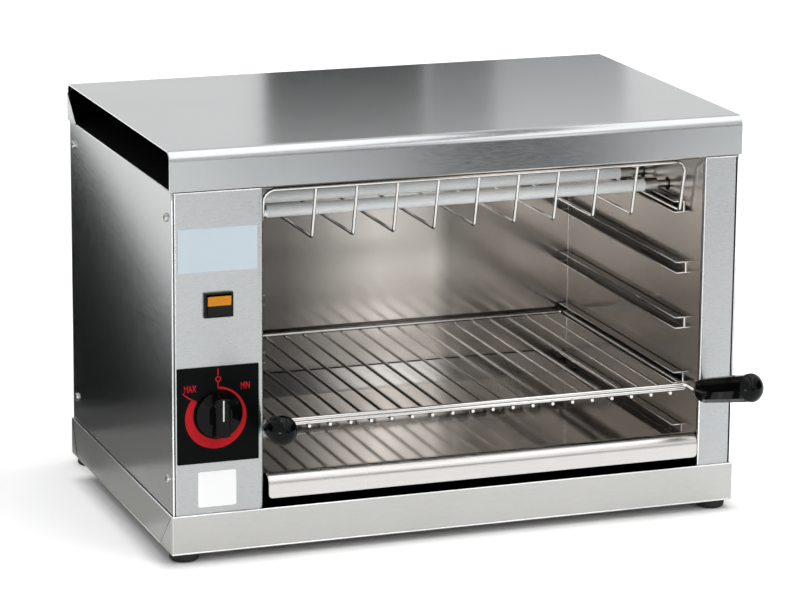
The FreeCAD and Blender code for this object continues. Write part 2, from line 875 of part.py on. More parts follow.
# Controls
def dial_plate():
    left = plinth_left + dial_left
    low = plinth_bottom + dial_bottom
    plate = rounded_plate(left, dial_right, body_front - dial_sheet, body_front,
                          low, low + dial_height, dial_corner)
    hole_radius = bushing_diameter / 2 + panel_hole_gap
    start = point(knob_x, body_front - dial_sheet * 2, knob_z)
    return plate.cut(rod(hole_radius, start, point(knob_x, body_front + sheet, knob_z)))


def regulator_body():
    back = body_front + sheet
    half = regulator_width / 2
    case = block(knob_x - half, knob_x + half, back, back + regulator_depth,
                 knob_z - regulator_height / 2, knob_z + regulator_height / 2)
    case = case.makeFillet(edge_bend, case.Edges)
    bushing = rod(bushing_diameter / 2, point(knob_x, back + sheet, knob_z),
                  point(knob_x, body_front - dial_sheet - bushing_front, knob_z))
    bore = rod(shaft_diameter / 2 + shaft_gap, point(knob_x, back + shaft_rear, knob_z),
               point(knob_x, body_front - dial_sheet - bushing_front * 2, knob_z))
    return joined([case, bushing]).cut(bore)


def regulator_nut():
    front = body_front - dial_sheet
    nut = hexagon(nut_flats, point(knob_x, front, knob_z), point(0, -1, 0), nut_height)
    hole_radius = bushing_diameter / 2 + screw_hole_gap / 2
    return nut.cut(rod(hole_radius, point(knob_x, front + overrun, knob_z),
                       point(knob_x, front - nut_height - overrun, knob_z)))


def knob_back():
    return body_front - dial_sheet - knob_plate_gap


def knob_face():
    return body_front - knob_height


def regulator_shaft():
    back = body_front + sheet + shaft_rear - shaft_gap
    tip = knob_face() + knob_wall + shaft_gap
    return rod(shaft_diameter / 2, point(knob_x, back, knob_z), point(knob_x, tip, knob_z))


def control_knob():
    radius = knob_diameter / 2
    back = knob_back()
    rim = back - knob_skirt
    face = knob_face()
    skirt = rod(radius, point(knob_x, back, knob_z), point(knob_x, rim, knob_z))
    dish = Part.makeCone(radius, knob_dish_diameter / 2, knob_dish, point(knob_x, rim, knob_z),
                         point(0, -1, 0))
    bar = block(knob_x - knob_bar_width / 2, knob_x + knob_bar_width / 2, face, rim,
                knob_z - radius, knob_z + radius)
    taper = Part.makeCone(radius, radius - knob_bar_slope, rim - face, point(knob_x, rim, knob_z),
                          point(0, -1, 0))
    bar = bar.common(taper)
    ridge = [edge for edge in bar.Edges if edge.BoundBox.YMax < face + tiny]
    bar = bar.makeFillet(knob_bar_round, ridge)
    body = joined([skirt, dish, bar])
    hollow = rod(nut_flats / math.sqrt(3) + knob_wall, point(knob_x, back + overrun, knob_z),
                 point(knob_x, body_front - dial_sheet - bushing_front - knob_plate_gap, knob_z))
    bore = rod(shaft_diameter / 2 + shaft_gap, point(knob_x, back + overrun, knob_z),
               point(knob_x, face + knob_wall, knob_z))
    return body.cut(hollow).cut(bore)


# The switch: a frame with a body behind the panel, and a two-tone rocker on pins inside it.
def switch_sides():
    left = plinth_left + switch_left
    low = plinth_bottom + switch_bottom
    return left, left + switch_width, low, low + switch_height


def switch_body():
    left, right, low, high = switch_sides()
    inset = switch_body_inset
    return block(left + inset, right - inset, body_front, body_front + switch_body_depth,
                 low + inset, high - inset)


def rocker_pivot():
    left, right, low, high = switch_sides()
    return body_front + rocker_pivot_depth, (low + high) / 2


def rocker_hollow():
    left, right, low, high = switch_sides()
    side = switch_body_inset + switch_side_wall
    inset = switch_body_inset + switch_wall
    return left + side, right - side, low + inset, high - inset


def switch_housing():
    left, right, low, high = switch_sides()
    front = body_front - switch_bezel
    frame = rounded_plate(left, right, front, body_front, low, high, switch_bezel_corner)
    rim = [edge for edge in frame.Edges if edge.BoundBox.YMax < front + tiny]
    frame = frame.makeChamfer(switch_bezel_chamfer, rim)
    x0, x1, z0, z1 = rocker_hollow()
    well = block(x0, x1, front - overrun, body_front + rocker_depth + rocker_gap * 2, z0, z1)
    pivot_y, pivot_z = rocker_pivot()
    pin_reach = rocker_pin_reach + rocker_pin_gap
    pins = rod(rocker_pin_diameter / 2 + rocker_pin_gap, point(x0 - pin_reach, pivot_y, pivot_z),
               point(x1 + pin_reach, pivot_y, pivot_z))
    return joined([frame, switch_body()]).cut(well).cut(pins)


# The rocker's block at mid swing: its flanks lean in towards the front, so that its corners pass the
# well's walls with the same gap at both ends of the swing.
def rocker_block():
    x0, x1, z0, z1 = rocker_hollow()
    pivot_y, pivot_z = rocker_pivot()
    tilt = math.radians(rocker_tilt)
    clear = (z1 - z0) / 2 - rocker_gap
    face = rocker_face_place()
    back = body_front + rocker_skirt
    half_front = (clear - (pivot_y - face) * math.sin(tilt)) / math.cos(tilt)
    half_back = (clear - (back - pivot_y) * math.sin(tilt)) / math.cos(tilt)
    start = x0 + rocker_gap
    corners = [point(start, back, pivot_z - half_back), point(start, face, pivot_z - half_front),
               point(start, face, pivot_z + half_front), point(start, back, pivot_z + half_back),
               point(start, back, pivot_z - half_back)]
    return Part.Face(Part.makePolygon(corners)).extrude(point(x1 - x0 - rocker_gap * 2, 0, 0))


def rocker_face_place():
    return body_front - rocker_face


def lens_seat():
    x0, x1, z0, z1 = rocker_hollow()
    face = rocker_face_place()
    middle = rocker_pivot()[1] + rocker_step
    return block(x0, x1, face - overrun, face + lens_sink, middle, z1)


def tilted(shape):
    pivot_y, pivot_z = rocker_pivot()
    shape.rotate(point(0, pivot_y, pivot_z), point(1, 0, 0), rocker_tilt)
    return shape


def switch_rocker():
    left, right = rocker_hollow()[:2]
    pivot_y, pivot_z = rocker_pivot()
    pins = rod(rocker_pin_diameter / 2, point(left - rocker_pin_reach, pivot_y, pivot_z),
               point(right + rocker_pin_reach, pivot_y, pivot_z))
    return tilted(joined([rocker_block().cut(lens_seat()), pins]))


def switch_lens():
    return tilted(rocker_block().common(lens_seat()))


def blank_labels():
    left = plinth_left + name_label_left
    low = plinth_bottom + name_label_bottom
    name_label = block(left, opening_left - name_label_right_margin, body_front - label_sheet,
                       body_front, low, low + name_label_height)
    left = plinth_left + mark_label_left
    low = plinth_bottom + mark_label_bottom
    mark_label = rounded_plate(left, left + mark_label_width, body_front - label_sheet, body_front,
                               low, low + mark_label_height, mark_label_corner)
    return [name_label, mark_label]


# Supply side
def cable_gland():
    outer = body_rear
    face = point(gland_x, outer, gland_z)
    backwards = point(0, 1, 0)
    hexed = hexagon(gland_hex, face, backwards, gland_hex_length)
    dome_start = outer + gland_hex_length
    dome = Part.makeCone(gland_dome_diameter / 2, gland_dome_tip / 2, gland_dome_length,
                         point(gland_x, dome_start, gland_z), backwards)
    thread = rod(gland_thread_diameter / 2, face, point(gland_x, outer - sheet - gland_inside, gland_z))
    nut_rear = outer - sheet
    nut = hexagon(gland_nut_flats, point(gland_x, nut_rear, gland_z), point(0, -1, 0), gland_nut_length)
    bore = rod(gland_bore_diameter / 2, point(gland_x, outer - sheet - gland_inside - overrun, gland_z),
               point(gland_x, dome_start + gland_dome_length + overrun, gland_z))
    return joined([hexed, dome, thread, nut]).cut(bore)


def terminal_places():
    front = plinth_front + plinth_depth - terminal_back
    first = gland_x - terminal_width / 2
    step = terminal_width / terminal_ways
    return [(first + step * (number + 0.5), front + terminal_depth / 2) for number in range(terminal_ways)]


def terminal_block():
    front = plinth_front + plinth_depth - terminal_back
    half = terminal_width / 2
    housing = block(gland_x - half, gland_x + half, front, front + terminal_depth,
                    base_top, base_top + terminal_height)
    for x, y in terminal_places():
        top = base_top + terminal_height
        bottom = point(x, y, top - terminal_height / 2)
        well = rod(terminal_screw_diameter / 2, bottom, point(x, y, top + overrun))
        housing = housing.cut(well)
    return housing


def inner_leads():
    half = lead_diameter / 2
    terminal_front = plinth_front + plinth_depth - terminal_back - half
    low = base_top + terminal_height / 2
    behind_regulator = body_front + sheet + regulator_depth + half
    behind_switch = body_front + switch_body_depth + half
    switch_x = plinth_left + switch_left + switch_width / 2
    switch_z = plinth_bottom + switch_bottom + switch_height / 2
    lower_row = knob_z - regulator_height / 4
    upper_row = knob_z + regulator_height / 4
    line_x = terminal_places()[0][0]
    neutral_x = terminal_places()[-1][0]
    tail_x = wall_left - tail_past_wall - half
    climb_y = behind_regulator + lead_run
    routes = [
        [point(line_x, terminal_front + half, low), point(line_x, terminal_front - lead_run, low),
         point(line_x, terminal_front - lead_run, switch_z), point(line_x, behind_switch - half, switch_z)],
        [point(switch_x, behind_switch - half, switch_z), point(switch_x, climb_y, switch_z),
         point(switch_x, climb_y, upper_row), point(switch_x, behind_regulator - half, upper_row)],
        [point(knob_x - lead_run / 2, behind_regulator - half, lower_row),
         point(knob_x - lead_run / 2, tube_depths[0], lower_row),
         point(knob_x - lead_run / 2, tube_depths[0], tube_z),
         point(tail_x + half, tube_depths[0], tube_z)],
        [point(knob_x + lead_run / 2, behind_regulator - half, lower_row),
         point(knob_x + lead_run / 2, tube_depths[-1], lower_row),
         point(knob_x + lead_run / 2, tube_depths[-1], tube_z),
         point(tail_x + half, tube_depths[-1], tube_z)],
        [point(neutral_x, terminal_front + half, low), point(neutral_x, tube_depths[2], low),
         point(neutral_x, tube_depths[2], tube_z), point(tail_x + half, tube_depths[2], tube_z)],
    ]
    return [bent_rod(route, lead_diameter, lead_bend) for route in routes]


# Screws and rivets: pan heads on both side panels, and rivets in the runners
def pan_screw(outer, inward, y, z):
    head = rod(screw_head_diameter / 2, point(outer, y, z), point(outer - inward * screw_head_height, y, z))
    rim = [edge for edge in head.Edges if abs(edge.BoundBox.Center.x - outer) > screw_head_height / 2]
    rim = [edge for edge in rim if edge.BoundBox.XLength < tiny]
    head = head.makeFillet(screw_head_round, rim)
    shank = rod(screw_diameter / 2, point(outer, y, z), point(outer + inward * screw_reach, y, z))
    return joined([head, shank])


def panel_screws():
    screws = []
    for outer, inward in ((body_left, 1), (body_right, -1)):
        screws += [pan_screw(outer, inward, y, z) for y, z in side_screw_places()]
    return screws


def runner_rivets():
    rivets = []
    for wall, inward in ((wall_left, 1), (wall_right, -1)):
        rivets += [rivet(wall, inward, y, z) for y, z in rivet_places()]
    return rivets


os.makedirs("parts", exist_ok=True)

save("base_plinth", base_plinth())
save("base_plate", base_plate())
for name, (x, y) in zip(("front_left", "front_right", "rear_left", "rear_right"), foot_centres()):
    save("foot_" + name, foot(x, y))
save("foot_screws", group([foot_screw(x, y) for x, y in foot_centres()]))
save("side_panel_left", side_panel(body_left, 1))
save("side_panel_right", side_panel(body_right, -1))
save("rear_panel", rear_panel())
save("control_panel", control_panel())
save("right_pillar", right_pillar())
save("top_cover", top_cover())
save("heat_shield", heat_shield())
save("cover_brackets", group([cover_bracket(x, y) for x, y in bracket_places()]))
save("liner_left", side_liner(wall_left, -1, fold_rear))
save("liner_right", side_liner(wall_right, 1, body_front + right_liner_setback))
save("liner_rear", liner_rear())
save("reflector", reflector())
for number, (shelf, front) in enumerate(runner_shelves, 1):
    save("runner_left_" + str(number), runner(wall_left, 1, shelf, front))
    save("runner_right_" + str(number), runner(wall_right, -1, shelf, front))
save("runner_rivets", group(runner_rivets()))
for number, y in enumerate(tube_depths, 1):
    save("quartz_tube_" + str(number), quartz_tube(y))
save("heating_coils", group([heating_coil(y) for y in tube_depths]))
walls = [(wall_left, 1), (wall_right, -1)]
save("tube_end_caps", group([end_cap(wall, inward, y) for wall, inward in walls for y in tube_depths]))
bushes = [ceramic_bush(wall, -inward, y) for wall, inward in walls for y in tube_depths]
save("ceramic_bushes", group(bushes))
save("tube_links", group(tube_links()))
save("guard_frame", guard_frame())
save("guard_wires", group(guard_wires()))
save("rack_frame", rack_frame())
save("rack_wires", group(rack_wires()))
save("rack_handle_rod", rack_handle_rod())
save("grip_left", grip(-1))
save("grip_right", grip(1))
save("grip_ferrules", group([grip_ferrule(-1), grip_ferrule(1)]))
save("crumb_tray", crumb_tray())
save("dial_plate", dial_plate())
save("regulator_body", regulator_body())
save("regulator_nut", regulator_nut())
save("regulator_shaft", regulator_shaft())
save("control_knob", control_knob())
save("switch_housing", switch_housing())
save("switch_rocker", switch_rocker())
save("switch_lens", switch_lens())
save("blank_labels", group(blank_labels()))
save("cable_gland", cable_gland())
save("terminal_block", terminal_block())
save("inner_leads", group(inner_leads()))
save("panel_screws", group(panel_screws()))
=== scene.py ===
import math

import bmesh
import bpy
from mathutils import Matrix, Vector


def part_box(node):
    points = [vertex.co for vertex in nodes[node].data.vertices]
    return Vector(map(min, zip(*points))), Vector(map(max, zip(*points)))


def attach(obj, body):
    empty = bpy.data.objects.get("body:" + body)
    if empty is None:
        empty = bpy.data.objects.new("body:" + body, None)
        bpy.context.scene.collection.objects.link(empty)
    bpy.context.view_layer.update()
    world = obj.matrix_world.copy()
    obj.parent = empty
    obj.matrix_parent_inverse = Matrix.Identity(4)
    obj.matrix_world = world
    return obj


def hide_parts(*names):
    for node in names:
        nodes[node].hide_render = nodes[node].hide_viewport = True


# Salamander grill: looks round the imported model. The camera, the studio and its boards are given in metres,
# the pieces and their finishes in millimetres.
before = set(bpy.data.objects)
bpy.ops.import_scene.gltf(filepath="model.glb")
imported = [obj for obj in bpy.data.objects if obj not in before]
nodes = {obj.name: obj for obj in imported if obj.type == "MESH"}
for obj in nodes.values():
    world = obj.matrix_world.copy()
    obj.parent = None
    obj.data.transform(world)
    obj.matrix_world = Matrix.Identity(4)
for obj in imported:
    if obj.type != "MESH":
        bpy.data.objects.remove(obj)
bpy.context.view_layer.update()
mm = 0.001
weldDistance = 0.001 * mm
print("model loaded,", len(nodes), "nodes")


# Camera at the photograph's place
cameraSetup = {
    "position": (-0.94438, -2.57756, 0.83976),
    "azimuth": -19.969,
    "elevation": 13.941,
    "roll": 0.455,
    "lens": 164.855,
    "sensor": 36.0,
    "clipEnd": 50,
}


def makeCamera(setup):
    azimuth, elevation, roll = [math.radians(setup[key]) for key in ("azimuth", "elevation", "roll")]
    back = Vector((math.sin(azimuth) * math.cos(elevation), -math.cos(azimuth) * math.cos(elevation),
                   math.sin(elevation)))
    levelRight = (-back).cross(Vector((0, 0, 1))).normalized()
    levelUp = levelRight.cross(-back)
    right = levelRight * math.cos(roll) + levelUp * math.sin(roll)
    up = levelUp * math.cos(roll) - levelRight * math.sin(roll)
    camera = bpy.data.objects.new("camera", bpy.data.cameras.new("camera"))
    camera.data.lens = setup["lens"]
    camera.data.sensor_width = setup["sensor"]
    camera.data.clip_end = setup["clipEnd"]
    turn = Matrix((right, up, back)).transposed().to_4x4()
    camera.matrix_world = Matrix.Translation(setup["position"]) @ turn
    bpy.context.collection.objects.link(camera)
    bpy.context.scene.camera = camera


makeCamera(cameraSetup)
bpy.context.scene.view_settings.view_transform = "Standard"


# Colours are written as sRGB hex and turned linear here, as nodes want them
def linearColour(hexColour, alpha=1.0):
    parts = [int(hexColour[place:place + 2], 16) / 255 for place in (1, 3, 5)]
    linear = [part / 12.92 if part <= 0.04045 else ((part + 0.055) / 1.055) ** 2.4 for part in parts]
    return (*linear, alpha)


# One node with its settings (properties or inputs by name) and its links (input from another's output)
def addNode(tree, kind, settings=None, links=None):
    node = tree.nodes.new(kind)
    for name, value in (settings or {}).items():
        if isinstance(name, str) and hasattr(node, name):
            setattr(node, name, value)
        else:
            node.inputs[name].default_value = value
    for name, source in (links or {}).items():
        tree.links.new(source, node.inputs[name])
    return node


def startMaterial(name):
    material = bpy.data.materials.new(name)
    material.use_nodes = True
    tree = material.node_tree
    tree.nodes.clear()
    place = addNode(tree, "ShaderNodeTexCoord").outputs["Object"]
    return material, tree, place


def endMaterial(tree, shader):
    addNode(tree, "ShaderNodeOutputMaterial", links={"Surface": shader})


# The studio: white paper sweep, a soft window of light at the right front, a broad one above
studio = {
    "paper": "#EFEFEE",
    "glowNear": 0.40,  # the paper's own glow for what looks at it, round the grill and far away
    "glowFar": 0.80,
    "nearRadius": 1.10,
    "farRadius": 2.60,
    # The paper's glow fades out towards the foot and is none under it: a painted contact shadow round the
    # grill
    "footHalf": (0.225, 0.113),  # half of the grill's foot, under which the paper doesn't glow
    "paintedContactShadow": 0.020,  # the glow is full this far outside the foot
    "paperSize": 16.0,
    "fill": 0.58,
    "fillColour": "#F8F9FA",
    "keyPosition": (1.7, -2.3, 2.1),
    "keySize": 2.1,
    "keyPower": 28.0,
    "keyMirrored": False,  # seen in polished sheet, the key would burn out the cover from behind
    "topPosition": (0.55, -0.25, 2.4),
    "topSize": 2.0,
    "topPower": 34.0,
    "topMirrored": True,
    "aim": (0, 0, 0.12),
}


# One where the camera, gloss or clear material looks, nothing where soft light is gathered
def seenDirectly(tree):
    path = addNode(tree, "ShaderNodeLightPath")
    seen = addNode(tree, "ShaderNodeMath", {"operation": "MAXIMUM"},
                   {0: path.outputs["Is Camera Ray"], 1: path.outputs["Is Glossy Ray"]})
    seen = addNode(tree, "ShaderNodeMath", {"operation": "MAXIMUM"},
                   {0: seen.outputs[0], 1: path.outputs["Is Transmission Ray"]})
    return seen.outputs[0]


def makeWorld(setup):
    world = bpy.data.worlds.new("studio")
    bpy.context.scene.world = world
    world.use_nodes = True
    tree = world.node_tree
    tree.nodes.clear()
    white = addNode(tree, "ShaderNodeBackground", {"Color": (1, 1, 1, 1), "Strength": 1.0})
    soft = addNode(tree, "ShaderNodeBackground",
                   {"Color": linearColour(setup["fillColour"]), "Strength": setup["fill"]})
    mixed = addNode(tree, "ShaderNodeMixShader", links={
        "Fac": seenDirectly(tree), 1: soft.outputs[0], 2: white.outputs[0]})
    addNode(tree, "ShaderNodeOutputWorld", links={"Surface": mixed.outputs[0]})


def makeLamp(name, setup):
    lamp = bpy.data.lights.new(name + "_lamp", "AREA")
    lamp.shape = "SQUARE"
    lamp.size = setup[name + "Size"]
    lamp.energy = setup[name + "Power"]
    holder = bpy.data.objects.new(name + "_lamp", lamp)
    position = Vector(setup[name + "Position"])
    turn = (Vector(setup["aim"]) - position).to_track_quat("-Z", "Y")
    holder.matrix_world = Matrix.Translation(position) @ turn.to_matrix().to_4x4()
    holder.visible_camera = False
    holder.visible_glossy = setup[name + "Mirrored"]
    bpy.context.collection.objects.link(holder)


def makeFloor(setup):
    material, tree, place = startMaterial("paper_sweep")
    distance = addNode(tree, "ShaderNodeVectorMath", {"operation": "LENGTH"}, {0: place})
    reach = addNode(tree, "ShaderNodeMapRange",
                    {"interpolation_type": "SMOOTHSTEP", "From Min": setup["nearRadius"],
                     "From Max": setup["farRadius"], "To Min": setup["glowNear"], "To Max": setup["glowFar"]},
                    {"Value": distance.outputs["Value"]})
    # Painted contact shadow: the glow drops to nothing at the foot
    away = addNode(tree, "ShaderNodeVectorMath", {"operation": "ABSOLUTE"}, {0: place})
    away = addNode(tree, "ShaderNodeVectorMath", {"operation": "SUBTRACT", 1: (*setup["footHalf"], 0)},
                   {0: away.outputs[0]})
    away = addNode(tree, "ShaderNodeVectorMath", {"operation": "MAXIMUM", 1: (0, 0, 0)}, {0: away.outputs[0]})
    gap = addNode(tree, "ShaderNodeVectorMath", {"operation": "LENGTH"}, {0: away.outputs[0]})
    paintedContactShadow = addNode(tree, "ShaderNodeMapRange",
                      {"interpolation_type": "SMOOTHSTEP", "From Max": setup["paintedContactShadow"]},
                      {"Value": gap.outputs["Value"]})
    glow = seenDirectly(tree)
    for share in (reach.outputs[0], paintedContactShadow.outputs[0]):
        glow = addNode(tree, "ShaderNodeMath", {"operation": "MULTIPLY"}, {0: glow, 1: share}).outputs[0]
    paper = addNode(tree, "ShaderNodeBsdfDiffuse", {"Color": linearColour(setup["paper"])})
    light = addNode(tree, "ShaderNodeEmission", {"Color": (1, 1, 1, 1)}, {"Strength": glow})
    both = addNode(tree, "ShaderNodeAddShader", links={0: paper.outputs[0], 1: light.outputs[0]})
    endMaterial(tree, both.outputs[0])
    half = setup["paperSize"] / 2
    shape = bmesh.new()
    shape.faces.new([shape.verts.new(corner) for corner in
                     ((-half, -half, 0), (half, -half, 0), (half, half, 0), (-half, half, 0))])
    floor = meshObject("paper_floor", shape, material)


# Boards round the grill that only gloss and polished metal see: centre and size in metres, turn about the
# upright and lean back from upright in degrees, slant: how far the top left corner is drawn in
reflectorBoards = [
    {"name": "dark_board_left", "centre": (-0.328, 0.36, 0.120), "size": (0.170, 0.240), "slant": 0.137,
     "shade": "#020404"},
    {"name": "dark_board_left_low", "centre": (-0.35, 0.340, 0.003), "size": (0.20, 0.06), "lean": 90,
     "shade": "#020404"},
    {"name": "dim_board_left", "centre": (-0.35, 0.275, 0.003), "size": (0.22, 0.07), "lean": 90,
     "shade": "#4A4A49"},
    {"name": "grey_board_left", "centre": (-0.35, 0.185, 0.003), "size": (0.24, 0.11), "lean": 90,
     "shade": "#7A7A78"},
    {"name": "pale_board_left", "centre": (-0.35, 0.055, 0.003), "size": (0.24, 0.15), "lean": 90,
     "shade": "#B4B4B2"},
    {"name": "dark_board_side_left", "centre": (-1.88, 0.68, 0.6), "size": (2.1, 1.2), "turn": 70,
     "shade": "#060707"},
    {"name": "dark_board_side_right", "centre": (1.90, -0.62, 0.6), "size": (2.1, 1.2), "turn": 72,
     "shade": "#060707"},
    {"name": "dark_board_rear", "centre": (0.196, 0.72, 0.415), "size": (0.165, 0.24),
     "shade": "#000000"},
    {"name": "grey_board_rear_near", "centre": (0.316, 0.72, 0.42), "size": (0.07, 0.22),
     "shade": "#6C6E70"},
    {"name": "grey_board_rear", "centre": (0.42, 0.72, 0.40), "size": (0.14, 0.18),
     "shade": "#A8AAAC"},
    {"name": "dark_board_front", "centre": (0.58, -1.50, 0.17), "size": (0.20, 0.34),
     "shade": "#040404"},
    {"name": "dark_board_front_low", "centre": (0.49, -1.22, 0.003), "size": (0.23, 0.66),
     "turn": 20, "lean": 90, "shade": "#040404"},
    {"name": "grey_board_front_left", "centre": (0.36, -1.50, 0.200), "size": (0.24, 0.40),
     "shade": "#8C8D8E"},
    {"name": "grey_board_front_right", "centre": (0.80, -1.50, 0.225), "size": (0.24, 0.45),
     "shade": "#A2A3A4"},
    {"name": "bright_board_over", "centre": (0.35, -0.75, 1.2), "size": (0.85, 2.3), "lean": 90,
     "shade": "#FFFFFF", "strength": 2.3},
    {"name": "dim_board_over", "centre": (0.395, -0.75, 1.19), "size": (0.12, 2.3), "lean": 90,
     "shade": "#303132"},
    {"name": "bright_board_front", "centre": (0.62, -1.50, 0.55), "size": (0.15, 0.40),
     "shade": "#FFFFFF", "strength": 2.6},
    {"name": "bright_card_low", "centre": (-0.75, -1.25, 0.05), "size": (0.36, 0.22),
     "turn": -30, "lean": 40, "shade": "#FFFFFF", "strength": 14.0},
]


def makeBoard(setup):
    material, tree = startMaterial(setup["name"])[:2]
    shade = addNode(tree, "ShaderNodeEmission",
                    {"Color": linearColour(setup["shade"]), "Strength": setup.get("strength", 1.0)})
    endMaterial(tree, shade.outputs[0])
    width, height = setup["size"]
    shape = bmesh.new()
    corners = ((-width / 2, 0, -height / 2), (width / 2, 0, -height / 2),
               (width / 2, 0, height / 2), (-width / 2 + setup.get("slant", 0), 0, height / 2))
    shape.faces.new([shape.verts.new(corner) for corner in corners])
    board = meshObject(setup["name"], shape, material)
    board.matrix_world = (Matrix.Translation(setup["centre"])
                          @ Matrix.Rotation(math.radians(setup.get("turn", 0)), 4, "Z")
                          @ Matrix.Rotation(math.radians(setup.get("lean", 0)), 4, "X"))
    board.visible_camera = False
    board.visible_diffuse = False
    board.visible_shadow = False
    board.visible_transmission = False


# Mesh helpers
def meshObject(name, shape, material, body=None):
    mesh = bpy.data.meshes.new(name)
    bmesh.ops.recalc_face_normals(shape, faces=shape.faces)
    shape.to_mesh(mesh)
    shape.free()
    mesh.materials.append(material)
    piece = bpy.data.objects.new(name, mesh)
    bpy.context.collection.objects.link(piece)
    if body:
        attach(piece, body)
    return piece


# Skin over a row of equal loops of points, closed at both ends
def addSkin(shape, loops):
    rows = [[shape.verts.new(point) for point in loop] for loop in loops]
    for near, far in zip(rows, rows[1:]):
        for first in range(len(near)):
            after = (first + 1) % len(near)
            shape.faces.new((near[first], near[after], far[after], far[first]))
    for end in (rows[0], rows[-1]):
        shape.faces.new(end)


# A flat outline in x and z, given a thickness towards the front from the plane y
def addPlate(shape, outline, y, thickness):
    addSkin(shape, [[(x, depth, z) for x, z in outline] for depth in (y, y - thickness)])


# A strip between two runs of points, as thick as a print
def addStrip(shape, inner, outer, y, thickness):
    front = y - thickness
    addSkin(shape, [[(x, y, z), (x, front, z), (farX, front, farZ), (farX, y, farZ)]
                    for (x, z), (farX, farZ) in zip(inner, outer)])


def addStroke(shape, points, width, y, thickness):
    left, right = [], []
    for number, (x, z) in enumerate(points):
        before = points[max(number - 1, 0)]
        after = points[min(number + 1, len(points) - 1)]
        along = Vector((after[0] - before[0], after[1] - before[1])).normalized()
        side = Vector((-along.y, along.x)) * width / 2
        left.append((x + side.x, z + side.y))
        right.append((x - side.x, z - side.y))
    addStrip(shape, left, right, y, thickness)


def joinShape(shape, part):
    carrier = bpy.data.meshes.new("carrier")
    part.to_mesh(carrier)
    part.free()
    shape.from_mesh(carrier)
    bpy.data.meshes.remove(carrier)


# Middle of each separate solid in one of the model's nodes
def solidCentres(name):
    shape = bmesh.new()
    shape.from_mesh(nodes[name].data)
    bmesh.ops.remove_doubles(shape, verts=shape.verts, dist=weldDistance)
    left = set(shape.verts)
    centres = []
    while left:
        island = {left.pop()}
        edge = list(island)
        while edge:
            vertex = edge.pop()
            for link in vertex.link_edges:
                other = link.other_vert(vertex)
                if other in left:
                    left.remove(other)
                    island.add(other)
                    edge.append(other)
        low = [min(vertex.co[axis] for vertex in island) for axis in range(3)]
        high = [max(vertex.co[axis] for vertex in island) for axis in range(3)]
        centres.append(Vector([(a + b) / 2 for a, b in zip(low, high)]))
    shape.free()
    return sorted(centres, key=lambda centre: (round(centre.x, 4), round(centre.y, 4), round(centre.z, 4)))


# Round bar along runs of points
def roundBar(name, radius, runs, finish="edge", resolution=2, capped=True,
             closed=False):
    curve = bpy.data.curves.new(name, "CURVE")
    curve.dimensions = "3D"
    curve.bevel_depth = radius * mm
    curve.bevel_resolution = resolution
    curve.use_fill_caps = capped
    for points in runs:
        spline = curve.splines.new("POLY")
        spline.points.add(len(points) - 1)
        for place, (x, y, z) in zip(spline.points, points):
            place.co = (x, y, z, 1)
        spline.use_cyclic_u = closed
    curve.materials.append(materials[finish])
    piece = bpy.data.objects.new(name, curve)
    bpy.context.collection.objects.link(piece)
    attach(piece, "housing")
    return piece


# Materials
noiseSpan = {"From Min": 0.3, "From Max": 0.7}  # where nearly all of a noise's values lie


# Settings that many finishes share: from their dark to their light shade, and their span of roughness
def shadeMix(look):
    return {"data_type": "RGBA", 6: linearColour(look["dark"]), 7: linearColour(look["light"])}


def roughnessSpan(look):
    return {"To Min": look["roughness"][0], "To Max": look["roughness"][1]}


# Stainless sheet, cold rolled and brushed: soft grey with short fine lines along the grain, and
# reflections drawn out across it
def brushedSheet(name, look):
    material, tree, place = startMaterial(name)
    lengthways, across = look["grainLength"] * mm, look["grainWidth"] * mm
    stretch = [1 / lengthways if axis == look["grain"] else 1 / across for axis in "xyz"]
    grainPlace = addNode(tree, "ShaderNodeMapping", {"Scale": stretch}, {"Vector": place})
    grain = addNode(tree, "ShaderNodeTexNoise", {"Scale": 1.0, "Detail": 4.0, "Roughness": 0.62},
                    {"Vector": grainPlace.outputs[0]})
    cloud = addNode(tree, "ShaderNodeTexNoise", {"Scale": 1 / (look["cloud"] * mm), "Detail": 2.0},
                    {"Vector": place})
    shade = addNode(tree, "ShaderNodeMix", shadeMix(look), {0: grain.outputs["Fac"]})
    wide = addNode(tree, "ShaderNodeMapRange", {**noiseSpan, "To Min": look["cloudDepth"]},
                   {"Value": cloud.outputs["Fac"]})
    shade = addNode(tree, "ShaderNodeMix", {"data_type": "RGBA", "blend_type": "MULTIPLY", 0: 1.0},
                    {6: shade.outputs[2], 7: wide.outputs[0]})
    rough = addNode(tree, "ShaderNodeMapRange", {**noiseSpan, **roughnessSpan(look)},
                    {"Value": grain.outputs["Fac"]})
    bump = addNode(tree, "ShaderNodeBump", {"Strength": look["bump"], "Distance": 0.02 * mm},
                   {"Height": grain.outputs["Fac"]})
    crosswise = addNode(tree, "ShaderNodeCombineXYZ", dict(zip("XYZ", look["crosswise"])))
    steel = addNode(tree, "ShaderNodeBsdfPrincipled", {"Metallic": 1.0, "Anisotropic": look["anisotropy"]},
                    {"Base Color": shade.outputs[2], "Roughness": rough.outputs[0],
                     "Normal": bump.outputs[0], "Tangent": crosswise.outputs[0]})
    endMaterial(tree, steel.outputs[0])
    return material


frontPanelSteel = {
    "grain": "x", "crosswise": (0.0, 0.7, 0.7), "grainLength": 7.0,
    "grainWidth": 0.6,  # the real lines are about 0.1 mm wide, drawn coarser so that they show
    "dark": "#A5A8A9", "light": "#BFC1C1", "cloud": 90.0, "cloudDepth": 0.95,
    "roughness": (0.25, 0.33), "anisotropy": 0.5, "bump": 0.07,
}
sidePanelSteel = dict(frontPanelSteel, grain="y", crosswise=(0.0, 0.0, 1.0), dark="#B1B3B4",
                      light="#C9CBCB", roughness=(0.16, 0.21), anisotropy=0.3)
coverSteel = dict(frontPanelSteel, dark="#A7AAAB", light="#BBBDBE", roughness=(0.18, 0.24),
                  bump=0.04, grainWidth=0.5)
plinthSteel = dict(frontPanelSteel, crosswise=(0.0, 0.0, 1.0), dark="#B6B6B4", light="#C8C7C4",
                   roughness=(0.32, 0.40), anisotropy=0.3, bump=0.06)
